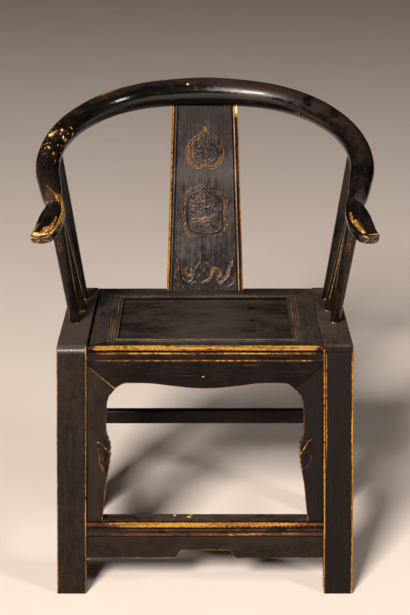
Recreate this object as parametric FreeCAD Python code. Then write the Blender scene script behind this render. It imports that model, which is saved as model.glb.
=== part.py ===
import FreeCAD, Part
import math
import os

V = FreeCAD.Vector

# A horseshoe back armchair in lacquered wood. Millimetres and degrees.
# Laid out with y = 0 on the front of the seat, z = 0 on the floor and x = 0 on the middle line.
# The sitter faces -y. At the end everything moves so that the origin is the middle of the chair's footprint.

# ---- seat and side frames
seat_height = 512.0        # floor to the top of the seat frame
seat_width = 570.0         # across the outer faces of the side frames, at the seat
seat_depth = 428.0         # front to back of the seat frame
frame_width = 58.0         # side frame member, across the chair
frame_depth = 42.0         # side frame member, through a leg or down through the seat
frame_bend = 14.0          # outside radius where a front leg turns into the seat
frame_back_bend = 8.0      # outside radius where a rear leg does
frame_inner_bend = 14.0    # inside radius of both bends
frame_overhang = 12.0      # how far the side frames stand out behind the back seat rail
frame_edge = 2.5           # rounding of the long edges of a side frame
leg_splay = 1.0            # degrees that a side frame leans outward
leg_rake = 0.6             # degrees that a leg leans forward or back

# ---- seat frame inside the side frames
rail_height = 33.0         # seat rails and stiles, top to bottom
nose_radius = 5.5          # worn half round on the front rail
quirk = 2.0                # narrow groove under the nose
bead_radius = 1.5          # small bead along the bottom of a moulded front
bead_foot = 1.0            # narrow edge under that bead
cove_depth = 5.0           # how far a moulded front falls back to its lower edge
stile_width = 57.0         # side frame to the sunk panel
front_rail_width = 54.0    # front of the seat to the sunk panel
back_rail_width = 74.0     # sunk panel to the back of the seat
panel_sink = 6.0           # top of the panel below the top of the frame
panel_thick = 12.0
panel_tongue = 6.0         # thickness of the panel's edge in its groove
panel_bite = 8.0           # how far that edge reaches into the frame
panel_rabbet = 3.0         # top of the panel to the top of its groove
batten_width = 32.0
batten_height = 18.0
batten_tenon_width = 16.0

# ---- aprons and spandrels
apron_thick = 14.0
apron_setback = 6.0        # front of the aprons behind the front of the seat
apron_drop = 55.0          # bottom of the front rail to the lowest point of the front apron
apron_arch = 11.0          # rise of the two arches over that lowest point
arch_inset = 43.5          # crown of an arch to the lower end of its mitre
arch_flat = 22.0           # half the length of an arch's flat crown
mitre_width = 56.0         # spandrel width where the mitre meets the opening
mitre_rise = 47.6          # how much higher the mitre is at the leg
spandrel_narrow = 38.0     # spandrel width above the leaf
leaf_width = 48.0          # spandrel width at the leaf
spandrel_foot = 31.0       # spandrel width on the footrest
leaf_rise = 13.0           # middle of the leaf above the middle of the spandrel's free edge
leaf_length = 74.0         # middle of the leaf to the plain edge above it or below it
plain_apron_drop = 36.0    # height of the side and back aprons
plain_apron_thick = 12.0

# ---- footrest and stretchers
footrest_height = 150.0    # floor to the top of the footrest
footrest_thick = 34.0
footrest_depth = 44.0
footrest_band = 13.0       # flat worn band along the top of its front
foot_apron_bottom = 71.0
foot_apron_thick = 12.0
notch_rise = 17.0
notch_half_width = 60.0
notch_slant = 11.0         # how much narrower the notch is at its top
side_bar_height = 196.0    # floor to the top of a side stretcher
side_bar_size = 28.0
side_bar_tenon_width = 12.0
back_bar_height = 242.5    # floor to the top of the back stretcher
back_bar_tall = 30.5
back_bar_thick = 22.0
back_bar_edge = 5.0        # rounding of its long edges

# ---- horseshoe rail: arcs in one plane that falls toward the front
crest_rise = 416.0         # top of the seat to the middle of the crest
crest_back = 42.0          # middle of the crest behind the back of the seat
rail_slope = 23.6          # degrees that the plane falls toward the front
crest_radius = 510.0
crest_angle = 12.0         # degrees of the crest's arc on each side of the middle
shoulder_radius = 260.0
shoulder_angle = 88.0
arm_straight = 96.0
flare_radius = 160.0
crest_thick = 60.0         # rail diameter in the middle of the back
arm_thick = 48.0           # rail diameter at the end of the shoulder
neck_thick = 38.0          # rail diameter where the grip begins
lap_start = 34.0           # degrees of turn where a lapped joint begins
lap_end = 55.0             # degrees of turn where it ends
pin_size = 8.0

# ---- grips
grip_length = 112.0        # neck to the end of the grip
grip_root = 22.0           # how far its flat top runs back into the round rail
grip_bulge = 3.0           # crown of its blunt end
grip_end_width = 42.0
grip_swell = 8.0           # how far the grip's outer side stands out behind its end
grip_top = 11.0            # flat top above the middle of the rail
grip_bottom = 15.0         # underside below the middle of the rail
grip_chamfer = 4.0         # bevel round the top
grip_under = 7.0           # bevel round the underside

# ---- posts: foot on the side frame, and where along the rail each one ends
post_foot = 20.0           # diameter at the seat
post_head = {"front": 29.0, "middle": 24.0, "rear": 23.0}    # diameter at the rail
post_tenon = 14.0
post_tenon_depth = 26.0
post_inset = {"front": 25.0, "middle": 32.0, "rear": 31.0}   # foot's middle from the side frame's outer face
front_post_back = 170.0    # front of the seat to the middle of the front post's foot
rear_post_ahead = 81.0     # middle of the rear post's foot to the back of the seat
post_from_neck = {"front": 6.0, "middle": 82.0, "rear": 212.0}   # head's place behind the neck, along the rail

# ---- splat
splat_foot_width = 163.0
splat_head_width = 137.0
splat_thick = 14.0
splat_from_back = 3.0      # back face at its foot, ahead of the back of the seat
splat_ahead = 6.0          # middle of its head, ahead of the middle of the crest
splat_bow = 9.0            # how far the middle is bowed back
splat_tenon_depth = 16.0

# ---- joints
fit = 0.2                  # gap on each side of every tenon and tongue
tenon_length = 24.0
tongue_thick = 6.0
tongue_length = 6.0
tongue_inset = 60.0        # end of a long tongue to the side frame
tenon_root = 4.0           # how far a tenon or tongue goes into its own piece
tenon_inset = 14.0         # sides of the seat rails' tenons
tenon_cover = 3.0          # wood between the panel's groove and the tenons under it
tenon_shoulder = 10.0      # how much narrower each side of the splat's tenons is

reach = 900.0              # larger than the chair's half size, for cutting tools
ring_spacing = 38.0        # between the circles that the rail is lofted through


# ---------------------------------------------------------------- shapes

def block(x0, x1, y0, y1, z0, z1, gap=0.0):
    """A block between two corners, grown by a gap on every side."""
    size = V(x1 - x0 + 2 * gap, y1 - y0 + 2 * gap, z1 - z0 + 2 * gap)
    return Part.makeBox(size.x, size.y, size.z, V(x0 - gap, y0 - gap, z0 - gap))


def face_of(first, steps):
    """A flat face. A step is a point for a straight edge, or a pair for an arc through its middle point."""
    edges = []
    here = first
    for step in steps:
        if isinstance(step, tuple):
            edges.append(Part.Arc(here, step[0], step[1]).toShape())
            here = step[1]
        else:
            edges.append(Part.LineSegment(here, step).toShape())
            here = step
    if here.distanceToPoint(first) > 0.001:
        edges.append(Part.LineSegment(here, first).toShape())
    return Part.Face(Part.Wire(edges))


def along_x(first, steps, x0, x1):
    """Push an outline of (y, z) points from x0 to x1."""
    flat = face_of(lift_yz(first, x0), [lift_step(step, x0, lift_yz) for step in steps])
    return flat.extrude(V(x1 - x0, 0, 0))


def along_y(first, steps, y0, y1):
    """Push an outline of (x, z) points from y0 to y1."""
    flat = face_of(lift_xz(first, y0), [lift_step(step, y0, lift_xz) for step in steps])
    return flat.extrude(V(0, y1 - y0, 0))


def lift_yz(point, x):
    return V(x, point[0], point[1])


def lift_xz(point, y):
    return V(point[0], y, point[1])


def lift_step(step, level, lift):
    """A step holds one point, or two for an arc."""
    if isinstance(step[0], tuple):
        return (lift(step[0], level), lift(step[1], level))
    return lift(step, level)


def mirrored(shape):
    return shape.mirror(V(0, 0, 0), V(1, 0, 0))


def both_ends(body, tenon):
    """A crosswise piece with the same tenon at its right and left end."""
    return body.fuse([tenon, mirrored(tenon)]).removeSplitter()


# ---------------------------------------------------------------- side frames

def lean(z):
    """How far a side frame has leaned out at height z."""
    return (seat_height - z) * math.tan(math.radians(leg_splay))


def rake(z):
    """How far a leg has leaned forward or back at height z."""
    return (seat_height - z) * math.tan(math.radians(leg_rake))


def inner_x(z):
    return seat_width / 2 - frame_width + lean(z)


def outer_x(z):
    return seat_width / 2 + lean(z)


def side_slab():
    """The leaning slab that the right side frame is sawn from."""
    feet = [(outer_x(0), 0), (outer_x(seat_height), seat_height), (inner_x(seat_height), seat_height)]
    return along_y((inner_x(0), 0), feet, -reach, reach)


def between_sides():
    """The space between the two side frames, which trims every crosswise piece."""
    corners = [(inner_x(0), 0), (inner_x(seat_height), seat_height), (-inner_x(seat_height), seat_height)]
    return along_y((-inner_x(0), 0), corners, -reach, reach)


frame_back = seat_depth + frame_overhang


def side_frame_blank():
    """The right side frame before its joints are cut: an arch with bent corners and softened edges."""
    low = seat_height - frame_depth
    outside = [(-rake(0), 0), (0, seat_height), (frame_back, seat_height), (frame_back + rake(0), 0)]
    inside = [(frame_back + rake(0) - frame_depth, 0), (frame_back + rake(low) - frame_depth, low)]
    inside += [(frame_depth - rake(low), low), (frame_depth - rake(0), 0)]
    outline = outside + inside
    arch = along_x(outline[0], outline[1:], 0, reach)
    arch = arch.makeFillet(frame_back_bend, cross_edges(arch, seat_height)[-1:])
    arch = arch.makeFillet(frame_bend, cross_edges(arch, seat_height)[:1])
    arch = arch.makeFillet(frame_inner_bend, cross_edges(arch, low))
    frame = arch.common(side_slab())
    long_edges = [edge for edge in frame.Edges if is_long_edge(edge)]
    return frame.makeFillet(frame_edge, long_edges)


def cross_edges(arch, level):
    """The edges of the arch that run across the chair at this height, from front to back."""
    across = [edge for edge in arch.Edges if edge.BoundBox.XLength > reach / 2]
    level_edges = [edge for edge in across if abs(edge.BoundBox.Center.z - level) < 0.5]
    return sorted(level_edges, key=lambda edge: edge.BoundBox.Center.y)


def is_long_edge(edge):
    """True for the edges that run round the arch, and not for those across it or under its feet."""
    middle = edge.valueAt((edge.FirstParameter + edge.LastParameter) / 2)
    tangent = edge.tangentAt((edge.FirstParameter + edge.LastParameter) / 2)
    return abs(tangent.x) < 0.5 and middle.z > 1


# ---------------------------------------------------------------- seat frame

rail_bottom = seat_height - rail_height
panel_half_width = inner_x(seat_height) - stile_width
panel_top = seat_height - panel_sink
panel_back = seat_depth - back_rail_width
groove_top = panel_top - panel_rabbet
groove_bottom = groove_top - panel_tongue
tenon_top = groove_bottom - tenon_cover
tenon_bottom = rail_bottom + tenon_root
batten_top = panel_top - panel_thick
batten_offset = panel_half_width / 2


def panel_groove(gap):
    """The panel's edge in the frame, all round."""
    half = panel_half_width + panel_bite
    front = front_rail_width - panel_bite
    return block(-half, half, front, panel_back + panel_bite, groove_bottom, groove_top, gap)


def batten_tenon(side, gap):
    middle = side * batten_offset
    half = batten_tenon_width / 2
    front = front_rail_width - tongue_length * 2
    back = panel_back + tongue_length * 2
    return block(middle - half, middle + half, front, back, tenon_bottom, tenon_top, gap)


def rail_tenon(is_front, gap):
    """The tenon at the right end of a seat rail: through the stile and into the side frame."""
    root = panel_half_width - tenon_root
    tip = inner_x(seat_height) + tenon_length
    front = tenon_inset if is_front else panel_back + tenon_inset
    back = front_rail_width - tenon_inset if is_front else seat_depth - tenon_inset
    return block(root, tip, front, back, tenon_bottom, tenon_top, gap)


def mitre_wedge(is_front):
    """What the right mitre takes off a seat rail, from the panel's corner out to the side frame."""
    edge = front_rail_width if is_front else panel_back
    far = 0.0 if is_front else seat_depth
    run = inner_x(rail_bottom) - panel_half_width
    beyond = run * 2
    slope = (far - edge) / run
    corners = [V(panel_half_width, edge, 0), V(panel_half_width + beyond, edge + slope * beyond, 0)]
    corners += [V(panel_half_width + beyond, edge, 0)]
    return face_of(corners[0], corners[1:]).extrude(V(0, 0, reach))


def front_moulding():
    """Section of the front rail: a worn half round nose, a quirk, a cove that falls back, and a small bead."""
    nose_low = seat_height - 2 * nose_radius
    start = (front_rail_width, seat_height)
    steps = [(nose_radius, seat_height), ((0.0, seat_height - nose_radius), (nose_radius, nose_low))]
    steps += [(nose_radius, nose_low - quirk), (cove_depth / 2, nose_low - quirk)]
    steps += cove_and_bead(nose_low - quirk, rail_bottom)
    steps += [(front_rail_width, rail_bottom)]
    return start, steps


def cove_and_bead(top, low):
    """The lower part of a moulded front: it falls back to a small bead over the lower edge."""
    bead_top = low + bead_foot + 2 * bead_radius
    steps = [((cove_depth * 0.64, (top + bead_top) / 2), (cove_depth, bead_top))]
    steps += [((cove_depth - bead_radius, bead_top - bead_radius), (cove_depth, bead_top - 2 * bead_radius))]
    return steps + [(cove_depth + bead_foot, low)]


def seat_rail_front():
    start, steps = front_moulding()
    body = along_x(start, steps, -reach, reach).common(between_sides())
    body = body.cut([mitre_wedge(True), mirrored(mitre_wedge(True))])
    body = both_ends(body, rail_tenon(True, 0))
    cuts = [panel_groove(fit), batten_tenon(1, fit), batten_tenon(-1, fit), apron_tongue(fit)]
    return body.cut(cuts)


def seat_rail_back():
    body = block(-reach, reach, panel_back, seat_depth, rail_bottom, seat_height).common(between_sides())
    body = body.cut([mitre_wedge(False), mirrored(mitre_wedge(False))])
    body = both_ends(body, rail_tenon(False, 0))
    cuts = [panel_groove(fit), batten_tenon(1, fit), batten_tenon(-1, fit), splat_foot_tenon(fit)]
    cuts += [apron_back_tongue(fit)]
    return body.cut(cuts)


def seat_stile():
    """The right stile fills what the two mitres leave between the panel and the side frame."""
    body = block(panel_half_width, reach, -reach, reach, rail_bottom, seat_height).common(between_sides())
    rails = block(-reach, reach, -reach, front_rail_width, 0, reach).cut(mitre_wedge(True))
    behind = block(-reach, reach, panel_back, reach, 0, reach).cut(mitre_wedge(False))
    return body.cut([rails, behind, rail_tenon(True, fit), rail_tenon(False, fit), panel_groove(fit)])


def seat_panel():
    field = block(-panel_half_width + fit, panel_half_width - fit, front_rail_width + fit, panel_back - fit,
                  batten_top, panel_top)
    return field.fuse(panel_groove(0)).removeSplitter()


def seat_batten(side):
    middle = side * batten_offset
    body = block(middle - batten_width / 2, middle + batten_width / 2, front_rail_width, panel_back,
                 batten_top - batten_height, batten_top)
    return body.fuse(batten_tenon(side, 0)).removeSplitter()


# ---------------------------------------------------------------- aprons and spandrels

apron_back_face = apron_setback + apron_thick
tongue_front = apron_setback + (apron_thick - tongue_thick) / 2
tongue_back = tongue_front + tongue_thick
apron_low = rail_bottom - apron_drop
mitre_x = inner_x(apron_low) - mitre_width
arch_offset = mitre_x - arch_inset
leaf_height = (footrest_height + apron_low) / 2 + leaf_rise


def long_tongue(level, front, back, gap):
    """A tongue along the top of a crosswise board, up into what lies on the board."""
    half = inner_x(level) - tongue_inset
    return block(-half, half, front, back, level - tenon_root, level + tongue_length, gap)


def apron_tongue(gap):
    return long_tongue(rail_bottom, tongue_front, tongue_back, gap)


def mitre_line():
    """The right mitre between apron and spandrel: from the opening up and out to the leg."""
    return (mitre_x, apron_low), (inner_x(apron_low + mitre_rise), apron_low + mitre_rise)


def apron_front():
    """Board with a cupid's bow edge: two flat arches that dip to the middle and to each mitre."""
    corner, leg = mitre_line()
    crown = apron_low + apron_arch
    inner_end = arch_offset - arch_flat
    outer_end = arch_offset + arch_flat
    turn = (inner_end / 2, apron_low + apron_arch * 0.36)
    hollow = (inner_end * 0.75, apron_low + apron_arch * 0.66)
    haunch = ((corner[0] + outer_end) / 2, crown - apron_arch / 4)
    start = (-leg[0], rail_bottom)
    steps = [(-leg[0], leg[1]), (-corner[0], corner[1])]
    steps += [((-haunch[0], haunch[1]), (-outer_end, crown)), (-inner_end, crown)]
    steps += [((-hollow[0], hollow[1]), (-turn[0], turn[1]))]
    steps += [((0, apron_low), turn), (hollow, (inner_end, crown)), (outer_end, crown), (haunch, corner)]
    steps += [leg, (leg[0], rail_bottom)]
    board = along_y(start, steps, apron_setback, apron_back_face).common(between_sides())
    return board.fuse(apron_tongue(0)).removeSplitter()


def spandrel_tongue(gap):
    """The tongue that runs down the right leg's groove."""
    top = apron_low + mitre_rise - tongue_length
    low = footrest_height
    corners = [(inner_x(low) + tongue_length + gap, low), (inner_x(top) + tongue_length + gap, top)]
    corners += [(inner_x(top) - tenon_root, top)]
    return along_y((inner_x(low) - tenon_root, low), corners, tongue_front - gap, tongue_back + gap)


def spandrel_foot_tenon(gap):
    middle = inner_x(footrest_height) - spandrel_foot / 2
    half = spandrel_foot * 0.3
    low = footrest_height - tongue_length
    top = footrest_height + tenon_root
    return block(middle - half, middle + half, tongue_front, tongue_back, low, top, gap)


def free_edge(z, width):
    """A point on the free edge of the right spandrel, which is so wide at this height."""
    return inner_x(z) - width, z


def spandrel():
    """The right spandrel: narrow above, swelling at the leaf, narrow again on the footrest."""
    corner, leg = mitre_line()
    plain_top = leaf_height + leaf_length
    notch = leaf_height + leaf_length * 0.46
    leaf_top = leaf_height + leaf_length * 0.3
    leaf_low = leaf_height - leaf_length * 0.62
    plain_low = leaf_height - leaf_length
    haunch = corner[1] * 0.7 + plain_top * 0.3
    swell = (spandrel_narrow + leaf_width) / 2
    steps = [corner, (free_edge(haunch, swell), free_edge(plain_top, spandrel_narrow))]
    steps += [free_edge(notch, spandrel_narrow), free_edge(leaf_top, swell)]
    steps += [(free_edge(leaf_height, leaf_width), free_edge(leaf_low, swell))]
    steps += [free_edge(plain_low, spandrel_narrow), free_edge(footrest_height, spandrel_foot)]
    steps += [(inner_x(footrest_height), footrest_height)]
    board = along_y(leg, steps, apron_setback, apron_back_face).common(between_sides())
    return board.fuse([spandrel_tongue(0), spandrel_foot_tenon(0)]).removeSplitter()


back_apron_front = seat_depth - apron_setback - plain_apron_thick
back_tongue_front = back_apron_front + (plain_apron_thick - tongue_thick) / 2
back_tongue_back = back_tongue_front + tongue_thick


def apron_back_tongue(gap):
    return long_tongue(rail_bottom, back_tongue_front, back_tongue_back, gap)


def apron_back_tenon(gap):
    top = rail_bottom - tongue_length
    low = rail_bottom - plain_apron_drop + tongue_length
    root = inner_x(top) - tenon_root
    return block(root, root + tenon_length * 0.75, back_tongue_front, back_tongue_back, low, top, gap)


def apron_back():
    front = back_apron_front
    board = block(-reach, reach, front, front + plain_apron_thick, rail_bottom - plain_apron_drop, rail_bottom)
    board = board.common(between_sides())
    return both_ends(board, apron_back_tenon(0)).fuse(apron_back_tongue(0)).removeSplitter()


frame_low = seat_height - frame_depth
side_middle = (inner_x(frame_low) + outer_x(frame_low)) / 2


def leg_space():
    """The space between the front and rear leg of the right side frame, which trims what stands in it."""
    low = [(frame_back + rake(0) - frame_depth, 0), (frame_back + rake(frame_low) - frame_depth, frame_low)]
    low += [(frame_depth - rake(frame_low), frame_low)]
    return along_x((frame_depth - rake(0), 0), low, 0, reach)


def apron_side_tongue(gap):
    half = tongue_thick / 2
    start = frame_depth + tongue_inset
    end = frame_back - start
    top = frame_low + tongue_length
    return block(side_middle - half, side_middle + half, start, end, frame_low - tenon_root, top, gap)


def apron_side():
    """The right side apron stands under the seat member, clear of the bent inner corners."""
    start = frame_depth + frame_inner_bend
    end = frame_back - start
    half = plain_apron_thick / 2
    board = block(side_middle - half, side_middle + half, start, end, frame_low - plain_apron_drop, frame_low)
    return board.fuse(apron_side_tongue(0)).removeSplitter()


# ---------------------------------------------------------------- footrest and stretchers

footrest_low = footrest_height - footrest_thick
foot_tongue_front = apron_setback + (foot_apron_thick - tongue_thick) / 2
foot_tongue_back = foot_tongue_front + tongue_thick


def footrest_tenon(gap):
    """The tenon at the right end of the footrest: the middle half of its thickness, behind the moulding."""
    low = footrest_low + footrest_thick / 4
    top = footrest_height - footrest_thick / 4
    root = inner_x(top) - tenon_root
    front = footrest_depth - tenon_inset
    return block(root, inner_x(top) + tenon_length, tenon_inset, front, low, top, gap)


def foot_apron_tongue(gap):
    return long_tongue(footrest_low, foot_tongue_front, foot_tongue_back, gap)


def foot_apron_tenon(gap):
    top = footrest_low - tongue_length
    low = foot_apron_bottom + tongue_length
    root = inner_x(low) - tenon_root
    return block(root, root + tenon_length * 0.75, foot_tongue_front, foot_tongue_back, low, top, gap)


def footrest():
    """Moulded like the seat's front: a flat worn band, a quirk, a cove and a bead."""
    band_low = footrest_height - footrest_band
    corner = frame_edge * 0.3
    start = (footrest_depth, footrest_height)
    steps = [(frame_edge, footrest_height)]
    steps += [((corner, footrest_height - corner), (0, footrest_height - frame_edge)), (0, band_low)]
    steps += [(cove_depth / 2, band_low), (cove_depth / 2, band_low - quirk), (1, band_low - quirk)]
    steps += cove_and_bead(band_low - quirk, footrest_low)
    steps += [(footrest_depth, footrest_low)]
    body = along_x(start, steps, -reach, reach).common(between_sides())
    body = both_ends(body, footrest_tenon(0))
    cuts = [foot_apron_tongue(fit), spandrel_foot_tenon(fit), mirrored(spandrel_foot_tenon(fit))]
    return body.cut(cuts)


def footrest_apron():
    """Board with a shallow notch, slanted at both ends."""
    half = inner_x(0)
    notch_top = foot_apron_bottom + notch_rise
    narrow = notch_half_width - notch_slant
    steps = [(-notch_half_width, foot_apron_bottom), (-narrow, notch_top), (narrow, notch_top)]
    steps += [(notch_half_width, foot_apron_bottom), (half, foot_apron_bottom), (half, footrest_low)]
    steps += [(-half, footrest_low)]
    board = along_y((-half, foot_apron_bottom), steps, apron_setback, apron_setback + foot_apron_thick)
    board = board.common(between_sides())
    return both_ends(board, foot_apron_tenon(0)).fuse(foot_apron_tongue(0)).removeSplitter()


side_bar_middle = (inner_x(side_bar_height) + outer_x(side_bar_height)) / 2
side_bar_low = side_bar_height - side_bar_size


def side_bar_tenon(gap):
    """One long tenon block that shows at both ends of the right side stretcher."""
    half = side_bar_tenon_width / 2
    front = frame_depth - rake(side_bar_height) - tenon_length
    back = frame_back - front
    low = side_bar_low + side_bar_size / 4
    top = side_bar_height - side_bar_size / 4
    return block(side_bar_middle - half, side_bar_middle + half, front, back, low, top, gap)


def stretcher_side():
    half = side_bar_size / 2
    bar = block(side_bar_middle - half, side_bar_middle + half, -reach, reach, side_bar_low, side_bar_height)
    return bar.common(leg_space()).fuse(side_bar_tenon(0)).removeSplitter()


back_bar_y = frame_back - frame_depth / 2 - back_bar_thick / 2
back_bar_low = back_bar_height - back_bar_tall


def back_bar_tenon(gap):
    front = back_bar_y + back_bar_thick / 4
    back = back_bar_y + back_bar_thick * 3 / 4
    low = back_bar_low + back_bar_tall / 4
    top = back_bar_height - back_bar_tall / 4
    root = inner_x(back_bar_low) - tenon_root
    return block(root, inner_x(back_bar_low) + tenon_length, front, back, low, top, gap)


def stretcher_back():
    bar = block(-reach, reach, back_bar_y, back_bar_y + back_bar_thick, back_bar_low, back_bar_height)
    long_edges = [edge for edge in bar.Edges if edge.BoundBox.XLength > reach]
    bar = bar.makeFillet(back_bar_edge, long_edges).common(between_sides())
    return both_ends(bar, back_bar_tenon(0))


# ---------------------------------------------------------------- horseshoe rail

crest_y = seat_depth + crest_back
crest_height = seat_height + crest_rise
fall = math.radians(rail_slope)
rail_forward = V(0, -math.cos(fall), -math.sin(fall))   # down the rail's plane, toward the front
rail_up = V(0, -math.sin(fall), math.cos(fall))         # square to that plane
crest_middle = V(0, crest_y, crest_height)
crest_run = crest_radius * math.radians(crest_angle)
shoulder_run = shoulder_radius * math.radians(shoulder_angle)
neck_run = crest_run + shoulder_run + arm_straight


def in_plane(u, v, w=0.0):
    """A point u to the right and v down the slope from the middle of the crest, w above the rail's plane."""
    return crest_middle + V(u, 0, 0) + rail_forward * v + rail_up * w


def arc_step(u, v, heading, radius, turn):
    """Where an arc ends: heading and turn are in degrees from +u toward +v."""
    start = math.radians(heading)
    end = math.radians(heading + turn)
    bend = radius if turn > 0 else -radius
    u += bend * (math.sin(end) - math.sin(start))
    v += bend * (math.cos(start) - math.cos(end))
    return u, v, heading + turn


def rail_place(run):
    """Place and heading at a distance along the middle line from the middle of the crest."""
    if run <= crest_run:
        return arc_step(0, 0, 0, crest_radius, math.degrees(run / crest_radius))
    u, v, heading = arc_step(0, 0, 0, crest_radius, crest_angle)
    run -= crest_run
    if run <= shoulder_run:
        return arc_step(u, v, heading, shoulder_radius, math.degrees(run / shoulder_radius))
    u, v, heading = arc_step(u, v, heading, shoulder_radius, shoulder_angle)
    run -= shoulder_run
    straight = min(run, arm_straight)
    u += straight * math.cos(math.radians(heading))
    v += straight * math.sin(math.radians(heading))
    run -= straight
    if run <= 0:
        return u, v, heading
    return arc_step(u, v, heading, flare_radius, -math.degrees(run / flare_radius))


def rail_thickness(run):
    """Diameter along the rail: thick at the crest, thinner on the arms, thinnest at the neck."""
    shoulder_end = crest_run + shoulder_run
    if run <= shoulder_end:
        return crest_thick + (arm_thick - crest_thick) * math.sin(math.pi / 2 * run / shoulder_end)
    return arm_thick + (neck_thick - arm_thick) * min(1.0, (run - shoulder_end) / arm_straight)


def rail_point(run):
    """A point on the middle line. A negative distance is on the left of the crest."""
    u, v, heading = rail_place(abs(run))
    return in_plane(math.copysign(u, run), v)


def rail_tangent(run):
    u, v, heading = rail_place(abs(run))
    side = math.copysign(1.0, run)
    angle = math.radians(heading)
    return V(math.cos(angle), 0, 0) + rail_forward * (math.sin(angle) * side)


def rail_length(start, end, gap=0.0):
    """Round rail between two distances, lofted through circles and grown by a gap."""
    count = max(3, round((end - start) / ring_spacing))
    rings = []
    for index in range(count + 1):
        run = start + (end - start) * index / count
        circle = Part.Circle(rail_point(run), rail_tangent(run), rail_thickness(abs(run)) / 2 + gap)
        rings.append(Part.Wire(circle.toShape()))
    return Part.makeLoft(rings, True, False)


def run_at_turn(degrees):
    """The distance along the rail at which it has turned by so many degrees, on the shoulder."""
    return crest_run + shoulder_radius * math.radians(degrees - crest_angle)


def lap_block(turn, ahead, above):
    """Half space at a station of the right shoulder: ahead of it or behind it, above the plane or below it."""
    u, v, heading = rail_place(run_at_turn(turn))
    angle = math.radians(heading)
    forward = V(math.cos(angle), 0, 0) + rail_forward * math.sin(angle)
    across = rail_up.cross(forward)
    length = crest_thick * 2.5
    start = 0.0 if ahead else -length
    low = 0.0 if above else -crest_thick
    tool = Part.makeBox(length, crest_thick * 2, crest_thick, V(start, -crest_thick, low))
    placed = FreeCAD.Matrix(forward.x, across.x, rail_up.x, 0, forward.y, across.y, rail_up.y, 0,
                            forward.z, across.z, rail_up.z, 0, 0, 0, 0, 1)
    tool.Placement = FreeCAD.Placement(in_plane(u, v), FreeCAD.Placement(placed).Rotation)
    return tool


def pin_block(gap):
    """The square pin through the right lap, square to the rail's plane."""
    run = run_at_turn((lap_start + lap_end) / 2)
    side = pin_size + 2 * gap
    pin = Part.makeBox(side, side, crest_thick * 2, V(-side / 2, -side / 2, -crest_thick))
    pin.Placement = FreeCAD.Placement(rail_point(run), FreeCAD.Rotation(V(1, 0, 0), rail_slope))
    return pin


def rail_blank(gap):
    """The whole right half of the round rail, past the lap and as far as the neck."""
    return rail_length(0, neck_run, gap)


def crest_blank(gap):
    end = run_at_turn(lap_end)
    crest = rail_length(-end, end, gap)
    lower_half = lap_block(lap_start, True, False)
    return crest.cut([lower_half, mirrored(lower_half)])


def grip():
    """The right grip: a flared tongue with a flat top, from inside the neck to a blunt end."""
    u0, v0, heading = rail_place(neck_run - grip_root)
    u1, v1, heading = rail_place(neck_run + grip_length)
    neck = neck_thick / 2 - 1
    end = grip_end_width / 2
    middle_u, middle_v, heading = rail_place(neck_run + grip_length * 0.45)
    inner = [in_plane(u0 - neck, v0, -grip_bottom), in_plane(middle_u - end - 1, middle_v, -grip_bottom)]
    inner += [in_plane(u1 - end, v1, -grip_bottom)]
    outer = [in_plane(u1 + end, v1, -grip_bottom), in_plane(middle_u + end + grip_swell, middle_v, -grip_bottom)]
    outer += [in_plane(u0 + neck, v0, -grip_bottom)]
    bulge = in_plane(u1, v1 + grip_bulge, -grip_bottom)
    flat = face_of(inner[0], [(inner[1], inner[2]), (bulge, outer[0]), (outer[1], outer[2])])
    tongue = flat.extrude(rail_up * (grip_top + grip_bottom))
    tongue = tongue.makeChamfer(grip_chamfer, [edge for edge in tongue.Edges if is_rim(edge, grip_top)])
    return tongue.makeChamfer(grip_under, [edge for edge in tongue.Edges if is_rim(edge, -grip_bottom)])


def is_rim(edge, level):
    """True for a long edge that lies in the plane at this level above the rail's own."""
    ends = [edge.valueAt(edge.FirstParameter), edge.valueAt(edge.LastParameter)]
    heights = [(end - crest_middle).dot(rail_up) for end in ends]
    return edge.Length > grip_end_width / 2 and all(abs(height - level) < 0.01 for height in heights)


def arm_blank():
    arm = rail_length(run_at_turn(lap_start), neck_run)
    arm = arm.cut(lap_block(lap_end, False, True))
    return arm.fuse(grip()).removeSplitter()


# ---------------------------------------------------------------- posts and splat

post_back = {"front": front_post_back, "rear": seat_depth - rear_post_ahead}
post_back["middle"] = (post_back["front"] + post_back["rear"]) / 2


def post_ends(name):
    """Foot on the top of the right side frame, and head on the middle line of the rail."""
    foot = V(outer_x(seat_height) - post_inset[name], post_back[name], seat_height)
    return foot, rail_point(neck_run - post_from_neck[name])


def post_core(name, gap):
    """The tenon line of a post: from inside the side frame to the middle of the rail."""
    foot, head = post_ends(name)
    axis = (head - foot).normalize()
    start = foot - axis * (post_tenon_depth + gap)
    length = (head - start).Length + gap
    return Part.makeCylinder(post_tenon / 2 + gap, length, start, axis)


def post(name, rail):
    """A tapered round post with its shoulders cut to the seat and to the underside of the rail."""
    foot, head = post_ends(name)
    axis = (head - foot).normalize()
    length = (head - foot).Length + post_foot / 2
    cone = Part.makeCone(post_foot / 2, post_head[name] / 2, length, foot - axis * (post_foot / 2), axis)
    seat = block(-reach, reach, -reach, reach, seat_height - reach, seat_height)
    shaft = cone.cut([seat] + rail)
    shaft = max(shaft.Solids, key=lambda solid: solid.Volume)
    return shaft.fuse(post_core(name, 0)).removeSplitter()


splat_y = seat_depth - splat_from_back - splat_thick
splat_lean = crest_y - splat_ahead - splat_thick / 2 - splat_y
splat_top = crest_height - crest_thick / 3


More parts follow.
